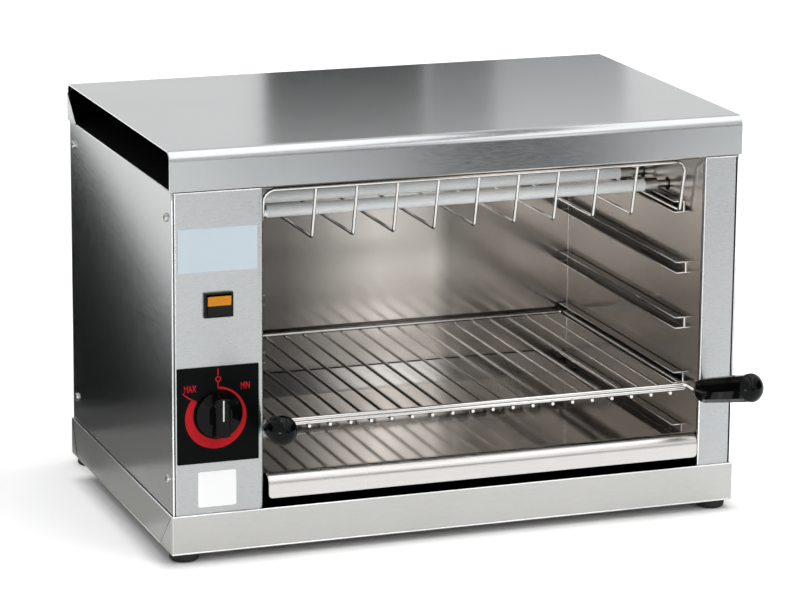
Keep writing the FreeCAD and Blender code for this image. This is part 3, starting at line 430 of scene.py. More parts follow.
# Inner sheets (base plate, heat shield, cover brackets): the steel coloured near black as painted shade
innerSteelPaintedShade = dict(frontPanelSteel, dark="#161818", light="#202222", roughness=(0.6, 0.7),
                  anisotropy=0.0)


# Painted reflection: behind a given depth (in metres) the sheet goes darker in broad upright zones that stand
# in for the darker bands of its reflection, given as places across in millimetres with the share of light
# left
def addPaintedReflectionBands(tree, place, shade, zones, paintedReflectionFrom):
    parts = addNode(tree, "ShaderNodeSeparateXYZ", links={0: place})
    behind = addNode(tree, "ShaderNodeMath", {"operation": "GREATER_THAN", 1: paintedReflectionFrom},
                     {0: parts.outputs["Y"]})
    start, end = zones[0][0], zones[-1][0]
    along = addNode(tree, "ShaderNodeMapRange", {"From Min": start * mm, "From Max": end * mm},
                    {"Value": parts.outputs["X"]})
    ramp = addNode(tree, "ShaderNodeValToRGB", links={0: along.outputs[0]})
    stops = ramp.color_ramp.elements
    for number, (where, share) in enumerate(zones):
        spot = (where - start) / (end - start)
        stop = stops[0] if number == 0 else stops[len(stops) - 1] if where == end else stops.new(spot)
        stop.position = spot
        stop.color = (share, share, share, 1)
    return addNode(tree, "ShaderNodeMix", {"data_type": "RGBA", "blend_type": "MULTIPLY"},
                   {0: behind.outputs[0], 6: shade.outputs[2], 7: ramp.outputs[0]})


# Bright annealed stainless sheet: a warm grey mirror, a little wavy, with faint rolling lines
def brightSheet(name, look):
    material, tree, place = startMaterial(name)
    stretch = [1 / (size * mm) for size in look["lines"]]
    linePlace = addNode(tree, "ShaderNodeMapping", {"Scale": stretch}, {"Vector": place})
    lines = addNode(tree, "ShaderNodeTexNoise", {"Scale": 1.0, "Detail": 3.0},
                    {"Vector": linePlace.outputs[0]})
    waves = addNode(tree, "ShaderNodeTexNoise", {"Scale": 1 / (look["wave"] * mm), "Detail": 1.0},
                    {"Vector": place})
    shade = addNode(tree, "ShaderNodeMix", shadeMix(look), {0: lines.outputs["Fac"]})
    # Where a look gives zones, darker bands of painted reflection across the sheet
    if "paintedReflection" in look:
        shade = addPaintedReflectionBands(tree, place, shade, look["paintedReflection"], look["paintedReflectionFrom"])
    rough = addNode(tree, "ShaderNodeMapRange", {**noiseSpan, **roughnessSpan(look)},
                    {"Value": waves.outputs["Fac"]})
    if "satinBefore" in look:
        depth = addNode(tree, "ShaderNodeSeparateXYZ", links={0: place}).outputs["Y"]
        lip = addNode(tree, "ShaderNodeMath", {"operation": "LESS_THAN", 1: look["satinBefore"]}, {0: depth})
        rough = addNode(tree, "ShaderNodeMath", {"operation": "MULTIPLY_ADD", 1: look["satinMore"]},
                        {0: lip.outputs[0], 2: rough.outputs[0]})
    waveBump = addNode(tree, "ShaderNodeBump", {"Strength": look["waveBump"], "Distance": 0.3 * mm},
                       {"Height": waves.outputs["Fac"]})
    lineBump = addNode(tree, "ShaderNodeBump", {"Strength": look["lineBump"], "Distance": 0.02 * mm},
                       {"Height": lines.outputs["Fac"], "Normal": waveBump.outputs[0]})
    steel = addNode(tree, "ShaderNodeBsdfPrincipled", {"Metallic": 1.0},
                    {"Base Color": shade.outputs[2], "Roughness": rough.outputs[0],
                     "Normal": lineBump.outputs[0]})
    endMaterial(tree, steel.outputs[0])
    return material


linerSteel = {
    "lines": (125.0, 16.667, 1.1111),  # size of the pattern in x, y and z, drawn coarser than it is
    "wave": 55.0, "dark": "#BDB7B1", "light": "#CDC7C1", "roughness": (0.17, 0.23), "waveBump": 0.25,
    "lineBump": 0.06,
}
# The rear liner and the reflector carry bands of painted reflection; the tray behind its lip carries the same
rearLinerSteel = dict(linerSteel, lines=(71.429, 16.667, 200.0), dark="#BDB7B0", light="#D2CDC7",
                      roughness=(0.14, 0.20), paintedReflectionFrom=-1.0,
                      paintedReflection=[(-75, 0.15), (-50, 0.20), (-32, 0.32), (-15, 0.46), (3, 0.62), (29, 0.85),
                            (78, 0.90), (92, 0.52), (143, 0.72), (190, 0.62)])
traySteel = dict(linerSteel, lines=(166.67, 1.1111, 1.1111), wave=120.0, dark="#C8C5C2", light="#D2D0CE",
                 roughness=(0.05, 0.09), waveBump=0.10, lineBump=0.02, paintedReflection=rearLinerSteel["paintedReflection"],
                 paintedReflectionFrom=0.115, satinBefore=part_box("crumb_tray")[0].y + 5 * mm, satinMore=0.20)
# The runners: the liner's steel coloured darker, as painted shade in their channels
runnerSteelPaintedShade = dict(linerSteel, lines=(1.1111, 100.0, 1.1111), dark="#706D6A", light="#918E8B",
                   roughness=(0.07, 0.12), waveBump=0.05)
# Sheet edge beads: the steel coloured near white as a painted highlight
edgeSteelPaintedHighlight = dict(linerSteel, lines=(3.3333, 3.3333, 3.3333), dark="#EDEDEC", light="#FAFAFA",
                 roughness=(0.20, 0.28), waveBump=0.0, lineBump=0.0)


# Drawn stainless wire, electropolished: near white metal with fine draw marks along it
def drawnWire(name, look):
    material, tree, place = startMaterial(name)
    specks = addNode(tree, "ShaderNodeTexNoise", {"Scale": 1 / (look["speck"] * mm), "Detail": 3.0},
                     {"Vector": place})
    shade = addNode(tree, "ShaderNodeMix", shadeMix(look), {0: specks.outputs["Fac"]})
    rough = addNode(tree, "ShaderNodeMapRange", roughnessSpan(look), {"Value": specks.outputs["Fac"]})
    steel = addNode(tree, "ShaderNodeBsdfPrincipled", {"Metallic": 1.0},
                    {"Base Color": shade.outputs[2], "Roughness": rough.outputs[0]})
    endMaterial(tree, steel.outputs[0])
    return material


wireSteel = {"speck": 1.6, "dark": "#C8C6C3", "light": "#DEDDDB", "roughness": (0.05, 0.10)}
fixingSteel = {"speck": 0.8, "dark": "#A6A6A5", "light": "#CFCFCD", "roughness": (0.2, 0.3)}
capMetal = {"speck": 1.2, "dark": "#C9C9C7", "light": "#DDDDDB", "roughness": (0.25, 0.36)}
coilWire = {"speck": 0.7, "dark": "#54504B", "light": "#7A7670", "roughness": (0.4, 0.55)}


# Plastics, rubber, ceramic and film: one base colour with a fine moulded or matt texture
def mouldedSkin(name, look):
    material, tree, place = startMaterial(name)
    grit = addNode(tree, "ShaderNodeTexNoise", {"Scale": 1 / (look["grit"] * mm), "Detail": 3.0},
                   {"Vector": place})
    smear = addNode(tree, "ShaderNodeTexNoise", {"Scale": 1 / (look["smear"] * mm), "Detail": 2.0},
                    {"Vector": place})
    shade = addNode(tree, "ShaderNodeMix", shadeMix(look), {0: smear.outputs["Fac"]})
    rough = addNode(tree, "ShaderNodeMapRange", {**noiseSpan, **roughnessSpan(look)},
                    {"Value": smear.outputs["Fac"]})
    bump = addNode(tree, "ShaderNodeBump", {"Strength": look["bump"], "Distance": 0.03 * mm},
                   {"Height": grit.outputs["Fac"]})
    # A finish may give a faint white glow: painted light, no lamp
    skin = addNode(tree, "ShaderNodeBsdfPrincipled",
                   {"IOR": look["ior"], "Specular IOR Level": look.get("gloss", 0.5),
                    "Emission Color": (1, 1, 1, 1), "Emission Strength": look.get("paintedGlow", 0.0)},
                   {"Base Color": shade.outputs[2], "Roughness": rough.outputs[0], "Normal": bump.outputs[0]})
    endMaterial(tree, skin.outputs[0])
    return material


blackPhenolic = {  # pressed phenolic resin, glossy from the mould, with a faint cloudiness
    "dark": "#040505", "light": "#0A0C0C", "grit": 0.5, "smear": 9.0, "roughness": (0.06, 0.10),
    "bump": 0.03, "ior": 1.60, "gloss": 0.09}
printedPlate = {  # anodised and screen printed aluminium plate: even black satin
    "dark": "#040707", "light": "#090D0D", "grit": 0.35, "smear": 25.0, "roughness": (0.34, 0.42),
    "bump": 0.06, "ior": 1.50, "gloss": 0.05}
switchNylon = {  # moulded polyamide: black with a fine spark-eroded texture
    "dark": "#050707", "light": "#0B0E0E", "grit": 0.3, "smear": 8.0, "roughness": (0.20, 0.30),
    "bump": 0.08, "ior": 1.53, "gloss": 0.15}
caseNylon = dict(switchNylon, dark="#26282A", light="#34373A", roughness=(0.45, 0.6))
footRubber = {  # moulded rubber: matt near-black
    "dark": "#121212", "light": "#1D1D1C", "grit": 0.6, "smear": 6.0, "roughness": (0.7, 0.85),
    "bump": 0.3, "ior": 1.52}
steatite = {  # pressed and fired ceramic, coloured near black as painted shade for the dark holes round the tube tails
    "dark": "#121110", "light": "#1C1B19", "grit": 0.5, "smear": 5.0, "roughness": (0.55, 0.7),
    "bump": 0.2, "ior": 1.55, "gloss": 0.2}
siliconeSleeve = {  # glass braid with silicone: off-white, slightly rough
    "dark": "#C9C3B6", "light": "#DDD8CC", "grit": 0.7, "smear": 4.0, "roughness": (0.5, 0.65),
    "bump": 0.3, "ior": 1.43}
blueFilm = {  # vinyl film, pale blue, even and slightly silky
    "dark": "#C8D6DF", "light": "#D2DEE6", "grit": 0.4, "smear": 30.0, "roughness": (0.42, 0.5),
    "bump": 0.05, "ior": 1.50}
# The white film glows a little as painted light, so that it reads whiter than it is lit
whiteFilm = dict(blueFilm, dark="#F6F7F6", light="#FBFCFB", paintedGlow=0.20)
redInk = {  # screen printed enamel ink, slightly raised, with a soft sheen
    "dark": "#BE151E", "light": "#CE1F28", "grit": 0.4, "smear": 7.0, "roughness": (0.4, 0.5),
    "bump": 0.1, "ior": 1.50, "gloss": 0.1}
whiteInk = dict(redInk, dark="#E6E6E4", light="#F4F4F2")
shadowSeam = {  # the open slit between two folded edges: what light gets in stays in
    "dark": "#020303", "light": "#050606", "grit": 0.6, "smear": 6.0, "roughness": (0.8, 0.9),
    "bump": 0.0, "ior": 1.45, "gloss": 0.05}


# Fused quartz, satin drawn: milky white glass with soft streaks along the tube, and a faint painted glow
def milkyQuartz(name, look):
    material, tree, place = startMaterial(name)
    stretch = [1 / (size * mm) for size in look["streak"]]
    streakPlace = addNode(tree, "ShaderNodeMapping", {"Scale": stretch}, {"Vector": place})
    streaks = addNode(tree, "ShaderNodeTexNoise", {"Scale": 1.0, "Detail": 4.0, "Roughness": 0.6},
                      {"Vector": streakPlace.outputs[0]})
    shade = addNode(tree, "ShaderNodeMix", shadeMix(look), {0: streaks.outputs["Fac"]})
    rough = addNode(tree, "ShaderNodeMapRange", roughnessSpan(look), {"Value": streaks.outputs["Fac"]})
    glass = addNode(tree, "ShaderNodeBsdfPrincipled",
                    {"IOR": look["ior"], "Transmission Weight": look["clear"],
                     "Coat Weight": look["coat"], "Coat Roughness": look["coatRoughness"],
                     "Emission Color": linearColour(look["glow"]), "Emission Strength": look["paintedGlowStrength"]},
                    {"Base Color": shade.outputs[2], "Roughness": rough.outputs[0]})
    endMaterial(tree, glass.outputs[0])
    return material


satinQuartz = {
    "streak": (55.556, 5.0, 5.0), "dark": "#E4E7E8", "light": "#FBFBFB", "roughness": (0.18, 0.42),
    "ior": 1.46, "clear": 0.08, "coat": 0.4, "coatRoughness": 0.10, "glow": "#EEF2F4", "paintedGlowStrength": 0.14,
}


# Moulded polycarbonate lens: deep amber, lit from within by what it lets through, ribbed inside
def amberLens(name, look):
    material, tree, place = startMaterial(name)
    ribs = addNode(tree, "ShaderNodeTexWave",
                   {"bands_direction": "X", "Scale": 1 / (look["rib"] * mm) / math.tau}, {"Vector": place})
    patch = addNode(tree, "ShaderNodeTexNoise", {"Scale": 1 / (look["patch"] * mm), "Detail": 2.0},
                    {"Vector": place})
    shade = addNode(tree, "ShaderNodeMix", shadeMix(look), {0: patch.outputs["Fac"]})
    bump = addNode(tree, "ShaderNodeBump", {"Strength": look["bump"], "Distance": 0.05 * mm},
                   {"Height": ribs.outputs["Fac"]})
    lens = addNode(tree, "ShaderNodeBsdfPrincipled",
                   {"IOR": look["ior"], "Roughness": look["roughness"],
                    "Transmission Weight": look["clear"], "Specular IOR Level": look["gloss"]},
                   {"Base Color": shade.outputs[2], "Normal": bump.outputs[0]})
    endMaterial(tree, lens.outputs[0])
    return material


amberPlastic = {
    "rib": 0.9, "patch": 3.846, "dark": "#DA7F06", "light": "#F0A012", "roughness": 0.16, "bump": 0.2,
    "ior": 1.585, "clear": 0.10, "gloss": 0.15,
}


materials = {
    "frontPanel": brushedSheet("stainless_brushed_front", frontPanelSteel),
    "sidePanel": brushedSheet("stainless_brushed_side", sidePanelSteel),
    "cover": brushedSheet("stainless_brushed_cover", coverSteel),
    "plinth": brushedSheet("stainless_satin_plinth", plinthSteel),
    "innerPaintedShade": brushedSheet("stainless_inner_painted_shade", innerSteelPaintedShade),
    "liner": brightSheet("stainless_bright_liner", linerSteel),
    "rearLiner": brightSheet("stainless_bright_rear_liner", rearLinerSteel),
    "edge": brightSheet("stainless_edge_painted_highlight", edgeSteelPaintedHighlight),
    "tray": brightSheet("stainless_bright_tray", traySteel),
    "runner": brightSheet("stainless_runner_painted_shade", runnerSteelPaintedShade),
    "wire": drawnWire("stainless_drawn_wire", wireSteel),
    "fixing": drawnWire("steel_plated_fixing", fixingSteel),
    "capMetal": drawnWire("nickel_pressed_cap", capMetal),
    "coil": drawnWire("resistance_wire_oxidised", coilWire),
    "quartz": milkyQuartz("quartz_satin_drawn", satinQuartz),
    "phenolic": mouldedSkin("phenolic_pressed_gloss", blackPhenolic),
    "dial": mouldedSkin("aluminium_printed_black", printedPlate),
    "switch": mouldedSkin("polyamide_moulded_black", switchNylon),
    "case": mouldedSkin("polyamide_moulded_grey", caseNylon),
    "rubber": mouldedSkin("rubber_moulded_matt", footRubber),
    "ceramic": mouldedSkin("steatite_painted_shade", steatite),
    "sleeve": mouldedSkin("silicone_braided_sleeve", siliconeSleeve),
    "blueFilm": mouldedSkin("vinyl_cut_pale_blue", blueFilm),
    "whiteFilm": mouldedSkin("vinyl_cut_white", whiteFilm),
    "redInk": mouldedSkin("enamel_ink_printed_red", redInk),
    "whiteInk": mouldedSkin("enamel_ink_printed_white", whiteInk),
    "seam": mouldedSkin("steel_folded_seam_shade", shadowSeam),
    "lens": amberLens("polycarbonate_moulded_amber", amberPlastic),
}
print("materials made,", len(materials))

sides = ("left", "right")
runnerLevels = range(1, 6)
nodeFinishes = {
    "frontPanel": ["control_panel", "right_pillar", "rear_panel"],
    "sidePanel": ["side_panel_left", "side_panel_right"],
    "cover": ["top_cover"],
    "plinth": ["base_plinth"],
    "innerPaintedShade": ["base_plate", "heat_shield", "cover_brackets"],
    "liner": ["liner_left", "liner_right"],
    "rearLiner": ["liner_rear", "reflector"],
    "tray": ["crumb_tray"],
    "runner": ["runner_%s_%d" % (side, level) for side in sides for level in runnerLevels],
    "wire": ["guard_frame", "guard_wires", "rack_frame", "rack_wires", "rack_handle_rod", "grip_ferrules"],
    "fixing": ["panel_screws", "runner_rivets", "foot_screws", "regulator_nut", "regulator_shaft"],
    "capMetal": ["tube_end_caps", "tube_links"],
    "coil": ["heating_coils"],
    "quartz": ["quartz_tube_%d" % number for number in range(1, 5)],
    "phenolic": ["grip_left", "grip_right", "control_knob"],
    "dial": ["dial_plate"],
    "switch": ["switch_housing", "switch_rocker", "cable_gland"],
    "case": ["regulator_body", "terminal_block"],
    "rubber": ["foot_%s_%s" % (end, side) for end in ("front", "rear") for side in sides],
    "ceramic": ["ceramic_bushes"],
    "sleeve": ["inner_leads"],
    "blueFilm": ["blank_labels"],
    "lens": ["switch_lens"],
}
for finish, names in nodeFinishes.items():
    for name in names:
        slots = nodes[name].data.materials
        slots.clear()
        slots.append(materials[finish])
print("finishes given to the model's nodes")


# Print on the dial plate: a ring that widens towards full heat, an off mark, and two words
dialPrint = {
    "thickness": 0.08,
    "innerRadius": 18.9,
    "outerRadius": 23.4,
    "outerOffset": (-1.7, -2.4),
    "ringEnd": 302,
    "ringSteps": 120,
    "tick": [(-16.6, 10.7), (-22.7, 13.9), (-26.9, 17.4)],
    "strokeWidth": 0.85,
    "onLine": [(0.1, 29.2), (0.1, 34.4)],
    "offCentre": (0.2, 26.5),
    "offRadius": 1.8,
    "offSteps": 40,
    "startLine": [(0.0, 18.9), (0.0, 24.5)],
    "letterWeight": 0.02,  # letters grown outward by this share of their size
    "words": [("MIN", (17.4, 24.3), (17.4, 22.7)), ("MAX", (-25.8, -16.3), (17.8, 23.1))],
}


def addWord(shape, word, weight, across, upright, y, thickness):
    text = bpy.data.curves.new(word, "FONT")
    text.body = word
    text.offset = weight
    holder = bpy.data.objects.new(word, text)
    flat = bpy.data.meshes.new_from_object(holder)
    points = [vertex.co for vertex in flat.vertices]
    low = [min(point[axis] for point in points) for axis in (0, 1)]
    high = [max(point[axis] for point in points) for axis in (0, 1)]
    scaleX = (across[1] - across[0]) / (high[0] - low[0])
    scaleZ = (upright[1] - upright[0]) / (high[1] - low[1])
    letters = bmesh.new()
    letters.from_mesh(flat)
    for vertex in letters.verts:
        x = across[0] + (vertex.co.x - low[0]) * scaleX
        z = upright[0] + (vertex.co.y - low[1]) * scaleZ
        vertex.co = (x, y - thickness, z)
    grown = bmesh.ops.extrude_face_region(letters, geom=letters.faces[:])
    for vertex in [item for item in grown["geom"] if isinstance(item, bmesh.types.BMVert)]:
        vertex.co.y = y
    letters.to_mesh(flat)
    letters.free()
    shape.from_mesh(flat)
    bpy.data.objects.remove(holder)
    bpy.data.curves.remove(text)
    bpy.data.meshes.remove(flat)


def makeDialPrint(setup):
    low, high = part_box("control_knob")
    axisX, axisZ = (low.x + high.x) / 2, (low.z + high.z) / 2
    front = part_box("dial_plate")[0].y
    thickness = setup["thickness"] * mm

    def placed(points):
        return [(axisX + x * mm, axisZ + z * mm) for x, z in points]

    offset = Vector(setup["outerOffset"])
    inner, outer = [], []
    for step in range(setup["ringSteps"] + 1):
        angle = math.radians(setup["ringEnd"] * step / setup["ringSteps"])
        heading = Vector((math.sin(angle), math.cos(angle)))
        lean = heading.dot(offset)
        reach = lean + math.sqrt(lean ** 2 - offset.length_squared + setup["outerRadius"] ** 2)
        inner.append(tuple(heading * setup["innerRadius"]))
        outer.append(tuple(heading * reach))
    shape = bmesh.new()
    addStrip(shape, placed(inner), placed(outer), front, thickness)
    width = setup["strokeWidth"] * mm
    for points in (setup["tick"], setup["onLine"], setup["startLine"]):
        addStroke(shape, placed(points), width, front, thickness)
    centreX, centreZ = setup["offCentre"]
    loop = []
    for step in range(setup["offSteps"] + 1):
        angle = math.tau * step / setup["offSteps"]
        loop.append((centreX + setup["offRadius"] * math.cos(angle),
                     centreZ + setup["offRadius"] * math.sin(angle)))
    addStroke(shape, placed(loop), width, front, thickness)
    for word, across, upright in setup["words"]:
        addWord(shape, word, setup["letterWeight"], [axisX + x * mm for x in across],
                [axisZ + z * mm for z in upright], front, thickness)
    piece = meshObject("dial_print", shape, materials["redInk"], "housing")


makeDialPrint(dialPrint)


# The knob's pointer: a white inlaid line down the front of its bar and over its top end
knobPointer = {"width": 1.1, "start": -2.0, "faceEnd": 13.4, "edgeRound": 1.2, "slopeEnd": (16.3, 7.4),
               "rise": 0.05, "depth": 0.3, "arcSteps": 6}


def makeKnobPointer(setup):
    low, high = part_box("control_knob")
    axisX, axisZ = (low.x + high.x) / 2, (low.z + high.z) / 2
    run = [(setup["start"], 0.0)]
    slopeHeight, slopeDepth = setup["slopeEnd"]
    tilt = math.atan2(slopeHeight - setup["faceEnd"] - setup["edgeRound"], slopeDepth)
    for step in range(setup["arcSteps"] + 1):
        angle = (math.pi / 2 - tilt) * step / setup["arcSteps"]
        run.append((setup["faceEnd"] + setup["edgeRound"] * math.sin(angle),
                    setup["edgeRound"] * (1 - math.cos(angle))))
    run.append(setup["slopeEnd"])
    loops = []
    for number, (height, depth) in enumerate(run):
        before, after = run[max(number - 1, 0)], run[min(number + 1, len(run) - 1)]
        along = Vector((after[0] - before[0], after[1] - before[1])).normalized()
        loop = []
        for lift, side in ((0, -1), (0, 1), (-setup["depth"], 1), (-setup["depth"], -1)):
            out = setup["rise"] + lift
            loop.append((axisX + side * setup["width"] / 2 * mm, low.y + (depth - along.x * out) * mm,
                         axisZ + (height + along.y * out) * mm))
        loops.append(loop)
    shape = bmesh.new()
    addSkin(shape, loops)
    piece = meshObject("knob_pointer", shape, materials["whiteInk"], "knob")


makeKnobPointer(knobPointer)
print("dial print and pointer made")


# Blank film labels, in the places where the front carries its plates
def roundedOutline(low, high, corner, steps):
    points = []
    for turn, (x, z) in enumerate((high, (low[0], high[1]), low, (high[0], low[1]))):
        middleX = x - corner if turn in (0, 3) else x + corner
        middleZ = z - corner if turn in (0, 1) else z + corner
        for step in range(steps + 1):
            angle = math.radians(90 * turn + 90 * step / steps)
            points.append((middleX + corner * math.cos(angle), middleZ + corner * math.sin(angle)))
    return points


labelFilms = [
    {"name": "name_label_film", "material": "blueFilm", "left": 6.0, "right": 66.0, "bottom": 212.0,
     "top": 244.5, "corner": 0.3, "cornerSteps": 8},
    {"name": "mark_label_film", "material": "whiteFilm", "left": 20.3, "right": 49.5, "bottom": 34.8,
     "top": 61.7, "corner": 1.6, "cornerSteps": 8},
]
plinthLow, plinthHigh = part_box("base_plinth")
labelLow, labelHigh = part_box("blank_labels")


def makeLabel(setup):
    low = (plinthLow.x + setup["left"] * mm, plinthLow.z + setup["bottom"] * mm)
    high = (plinthLow.x + setup["right"] * mm, plinthLow.z + setup["top"] * mm)
    outline = roundedOutline(low, high, setup["corner"] * mm, setup["cornerSteps"])
    shape = bmesh.new()
    addPlate(shape, outline, labelHigh.y, labelHigh.y - labelLow.y)
    piece = meshObject(setup["name"], shape, materials[setup["material"]], "housing")
    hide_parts("blank_labels")


for setup in labelFilms:
    makeLabel(setup)


# Pan-head screws with a cross recess, on both side panels
panHead = {"radius": 3.3, "height": 1.9, "rim": 1.3, "slotWidth": 1.0, "slotLength": 3.8, "slotDepth": 1.1,
           "segments": 40, "arcSteps": 8, "twistStart": 31, "twistStep": 67}


def panHeadShape(setup):
    profile = [(0.0, 0.0), (setup["radius"], 0.0), (setup["radius"], setup["height"] - setup["rim"])]
    for step in range(1, setup["arcSteps"] + 1):
        angle = math.radians(90 * step / setup["arcSteps"])
        profile.append((setup["radius"] - setup["rim"] * (1 - math.cos(angle)),
                        setup["height"] - setup["rim"] * (1 - math.sin(angle))))
    profile.append((0.0, setup["height"]))
    shape = bmesh.new()
    ringPoints = [shape.verts.new((radius * mm, 0, height * mm)) for radius, height in profile]
    edges = [shape.edges.new(pair) for pair in zip(ringPoints, ringPoints[1:])]
    bmesh.ops.spin(shape, geom=ringPoints + edges, cent=(0, 0, 0), axis=(0, 0, 1), angle=math.tau,
                   steps=setup["segments"], use_merge=True)
    bmesh.ops.remove_doubles(shape, verts=shape.verts, dist=weldDistance)
    return shape


def crossShape(setup):
    shape = bmesh.new()
    for turn in (0, 90):
        made = bmesh.ops.create_cube(shape, size=1.0)
        size = (setup["slotLength"] * mm, setup["slotWidth"] * mm, setup["slotDepth"] * mm * 2)
        place = (Matrix.Translation((0, 0, setup["height"] * mm))
                 @ Matrix.Rotation(math.radians(turn), 4, "Z") @ Matrix.Diagonal((*size, 1)))
        bmesh.ops.transform(shape, matrix=place, verts=made["verts"])
    return shape


def cutShape(body, cutter):
    bodyPiece = meshObject("cut_body", body, materials["fixing"])
    cutPiece = meshObject("cut_tool", cutter, materials["fixing"])
    cut = bodyPiece.modifiers.new("cut", "BOOLEAN")
    cut.object = cutPiece
    cut.operation = "DIFFERENCE"
    cut.use_self = True
    depsgraph = bpy.context.evaluated_depsgraph_get()
    mesh = bpy.data.meshes.new_from_object(bodyPiece.evaluated_get(depsgraph))
    for piece in (bodyPiece, cutPiece):
        old = piece.data
        bpy.data.objects.remove(piece)
        bpy.data.meshes.remove(old)
    return mesh


def makeScrews(setup):
    head = cutShape(panHeadShape(setup), crossShape(setup))
    shape = bmesh.new()
    for centre in solidCentres("panel_screws"):
        outward = -1 if centre.x < 0 else 1
        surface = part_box("side_panel_left")[0].x if outward < 0 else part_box("side_panel_right")[1].x
        twist = math.radians(setup["twistStart"] + setup["twistStep"] * len(shape.verts) % 90)
        place = (Matrix.Translation((surface, centre.y, centre.z))
                 @ Matrix.Rotation(outward * math.pi / 2, 4, "Y") @ Matrix.Rotation(twist, 4, "Z"))
        part = bmesh.new()
        part.from_mesh(head)
        bmesh.ops.transform(part, matrix=place, verts=part.verts)
        joinShape(shape, part)
    piece = meshObject("side_screw_heads", shape, materials["fixing"], "housing")
    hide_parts("panel_screws")


makeScrews(panHead)
print("labels and screws made")


# Resistance coils inside the quartz tubes; wire is half its thickness
coilWinding = {"radius": 1.95, "wire": 0.35, "pitch": 2.6, "turnSteps": 10}


def makeCoils(setup):
    for number in range(1, len(solidCentres("heating_coils")) + 1):
        low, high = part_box("quartz_tube_%d" % number)
        steps = int((high.x - low.x) / (setup["pitch"] * mm)) * setup["turnSteps"]
        middleY, middleZ, reach = (low.y + high.y) / 2, (low.z + high.z) / 2, setup["radius"] * mm
        run = []
        for step in range(steps + 1):
            angle = math.tau * step / setup["turnSteps"]
            run.append((low.x + (high.x - low.x) * step / steps, middleY + reach * math.cos(angle),
                        middleZ + reach * math.sin(angle)))
        piece = roundBar("heating_coil_%d" % number, setup["wire"], [run], "coil",
                         resolution=1, capped=False)
        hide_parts("heating_coils")


makeCoils(coilWinding)


# Folded corner tabs of the plinth: the front and rear sheets lap round the corners onto the sides
plinthTab = {"sheet": 0.28, "slit": 1.2, "slitSheet": 0.05, "round": 1.2, "bottomLift": 0.4,
             "frontTop": 2.0, "frontBottom": 31.0, "rearTop": 2.0, "rearBottom": 16.0}


def makePlinthTabs(setup):
    tabs, slits = bmesh.new(), bmesh.new()
    top, bottom = plinthHigh.z, plinthLow.z + setup["bottomLift"] * mm
    for face, outward in ((plinthLow.x, -1), (plinthHigh.x, 1)):
        for corner, inward, reachTop, reachBottom in (
                (plinthLow.y, 1, setup["frontTop"], setup["frontBottom"]),
                (plinthHigh.y, -1, setup["rearTop"], setup["rearBottom"])):
            start = corner + inward * setup["round"] * mm
            tab = [(start, top), (corner + inward * reachTop * mm, top),
                   (corner + inward * reachBottom * mm, bottom), (start, bottom)]
            wider = setup["slit"] * mm * inward
            slit = [tab[1], (tab[1][0] + wider, top), (tab[2][0] + wider, bottom), tab[2]]
            for shape, outline, sheet in ((tabs, tab, setup["sheet"]), (slits, slit, setup["slitSheet"])):
                addSkin(shape, [[(x, y, z) for y, z in outline] for x in (face, face + outward * sheet * mm)])
    for name, shape, finish in (("tabs", tabs, "plinth"), ("slits", slits, "seam")):
        meshObject("plinth_corner_" + name, shape, materials[finish], "housing")


makePlinthTabs(plinthTab)
print("coils and plinth corners made")


# Rounded, polished sheet edges: they catch the light as thin white lines, their steel coloured near white as
# a painted highlight
sheetEdges = {"coverBead": 0.75, "bodyBead": 0.65, "plinthBead": 0.6, "tabBead": 0.4, "proud": 0.25,
              "coverBend": 7.5, "bendSteps": 8, "tabReach": 23.0, "sheet": 1.0, "controlBend": 3.0,
              "plinthCorner": 1.2, "cornerSteps": 4, "linerBead": 0.35, "linerRun": (62.0, 236.0),
              "runnerBead": 0.4, "runnerProud": 0.2}


def makeCoverEdges(setup):
    low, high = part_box("top_cover")
    radius, proud, tabRadius, sheet = [setup[key] * mm for key in ("coverBead", "proud", "tabBead", "sheet")]
    front, rear, top = low.y + radius, high.y - radius, high.z - radius
    bend = setup["coverBend"] * mm - radius
    coverRuns, tabRuns = [], []
    for side, edge in ((-1, low.x), (1, high.x)):
        x = edge + side * (proud - radius)
        run = [(x, front, low.z + radius)]
        for middle, start in ((front + bend, math.pi), (rear - bend, math.pi / 2)):
            for step in range(setup["bendSteps"] + 1):
                angle = start - math.pi / 2 * step / setup["bendSteps"]
                run.append((x, middle + bend * math.cos(angle), top - bend + bend * math.sin(angle)))
        coverRuns.append(run + [(x, rear, low.z + radius)])
        x = edge + side * (proud - tabRadius)
        tabRuns.append([(x, high.y - sheet, high.z - setup["coverBend"] * mm - sheet),
                        (x, high.y - setup["tabReach"] * mm - sheet, low.z + tabRadius)])
    roundBar("cover_edge_beads", setup["coverBead"], coverRuns)
    roundBar("cover_tab_beads", setup["tabBead"], tabRuns)


def makeBodyEdges(setup):
    inset = (setup["bodyBead"] - setup["proud"]) * mm
    runs = []
    for side, name in ((-1, "side_panel_left"), (1, "side_panel_right")):
        low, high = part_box(name)
        x = (low.x if side < 0 else high.x) - side * inset
        front, rear, top = low.y + inset, high.y - inset, high.z - inset
        runs.append([(x, front, plinthHigh.z), (x, front, top), (x, rear, top), (x, rear, plinthHigh.z)])
    low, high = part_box("control_panel")
    front, top = low.y + inset, high.z - inset
    runs.append([(low.x, front, top), (high.x - setup["controlBend"] * mm, front, top)])
    low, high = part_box("right_pillar")
    left = low.x + setup["bodyBead"] * mm
    runs.append([(left, front, plinthHigh.z), (left, front, top), (high.x, front, top)])
    roundBar("body_edge_beads", setup["bodyBead"], runs)


def makePlinthEdges(setup):
    radius, inset = setup["plinthBead"] * mm, (setup["plinthBead"] - setup["proud"]) * mm
    low = (plinthLow.x + inset, plinthLow.y + inset)
    high = (plinthHigh.x - inset, plinthHigh.y - inset)
    outline = roundedOutline(low, high, setup["plinthCorner"] * mm, setup["cornerSteps"])
    runs = [[(x, y, z) for x, y in outline] for z in (plinthHigh.z - inset, plinthLow.z + radius)]
    roundBar("plinth_edge_beads", setup["plinthBead"], runs, closed=True)


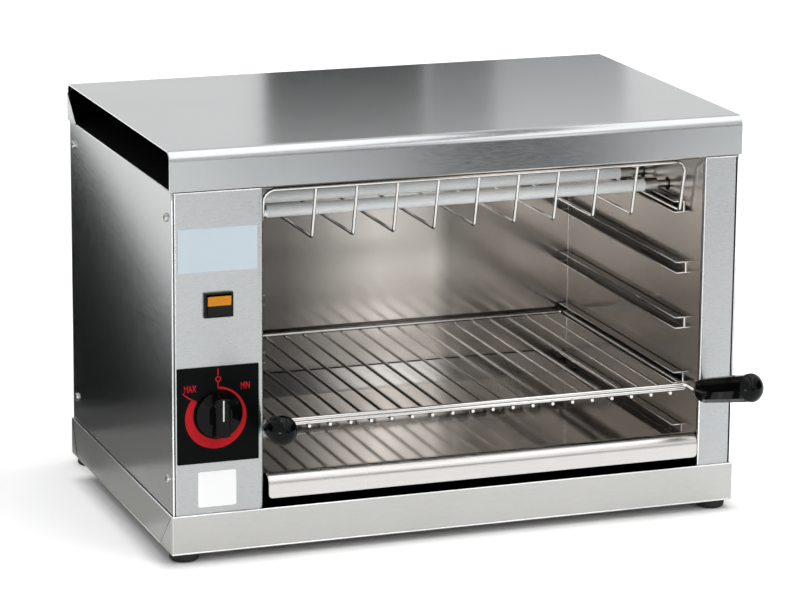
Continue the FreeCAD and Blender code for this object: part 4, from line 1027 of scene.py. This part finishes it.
def makeLinerEdges(setup):
    inset = (setup["runnerBead"] - setup["runnerProud"]) * mm
    runs = []
    for side in sides:
        for level in runnerLevels:
            low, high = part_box("runner_%s_%d" % (side, level))
            inner, outer = high.x - inset, low.x + inset
            if side == "right":
                inner, outer = outer, inner
            front, bottom, top = low.y + inset, low.z + inset, high.z - inset
            for z in (top, bottom):
                runs.append([(outer, front, z), (inner, front, z), (inner, high.y, z)])
            runs.append([(outer, front, bottom), (outer, front, top)])
    roundBar("runner_edge_beads", setup["runnerBead"], runs)
    radius = setup["linerBead"] * mm
    x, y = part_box("liner_right")[0].x - radius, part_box("liner_rear")[0].y - radius
    run = [(x, y, plinthLow.z + height * mm) for height in setup["linerRun"]]
    roundBar("liner_corner_bead", setup["linerBead"], [run])


for makeEdges in (makeCoverEdges, makeBodyEdges, makePlinthEdges, makeLinerEdges):
    makeEdges(sheetEdges)


# A black sheet of painted shade on the heat shield, turned up inside the cover's front and rear: the deep
# dark gap that shows at both ends of the cover
shadeMat = {"sheet": 0.4, "coverSheet": 1.0, "clear": 0.3, "sideInset": 2.2, "top": 7.0}


def makeShadeMat(setup):
    coverLow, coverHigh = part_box("top_cover")
    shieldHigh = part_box("heat_shield")[1]
    left, right = coverLow.x + setup["sideInset"] * mm, coverHigh.x - setup["sideInset"] * mm
    front = coverLow.y + (setup["coverSheet"] + setup["clear"]) * mm
    rear = coverHigh.y - (setup["coverSheet"] + setup["clear"]) * mm
    floor, top = shieldHigh.z + setup["clear"] * mm, coverHigh.z - setup["top"] * mm
    sheet = setup["sheet"] * mm
    outer = [(front, top), (front, floor), (rear, floor), (rear, top)]
    inner = [(rear - sheet, top), (rear - sheet, floor + sheet), (front + sheet, floor + sheet),
             (front + sheet, top)]
    shape = bmesh.new()
    addSkin(shape, [[(x, y, z) for y, z in outer + inner] for x in (left, right)])
    piece = meshObject("cover_shade_mat", shape, materials["seam"], "housing")


makeShadeMat(shadeMat)
print("sheet edges and shade mat made")

makeWorld(studio)
for name in ("key", "top"):
    makeLamp(name, studio)
makeFloor(studio)
for setup in reflectorBoards:
    makeBoard(setup)
print("studio made")
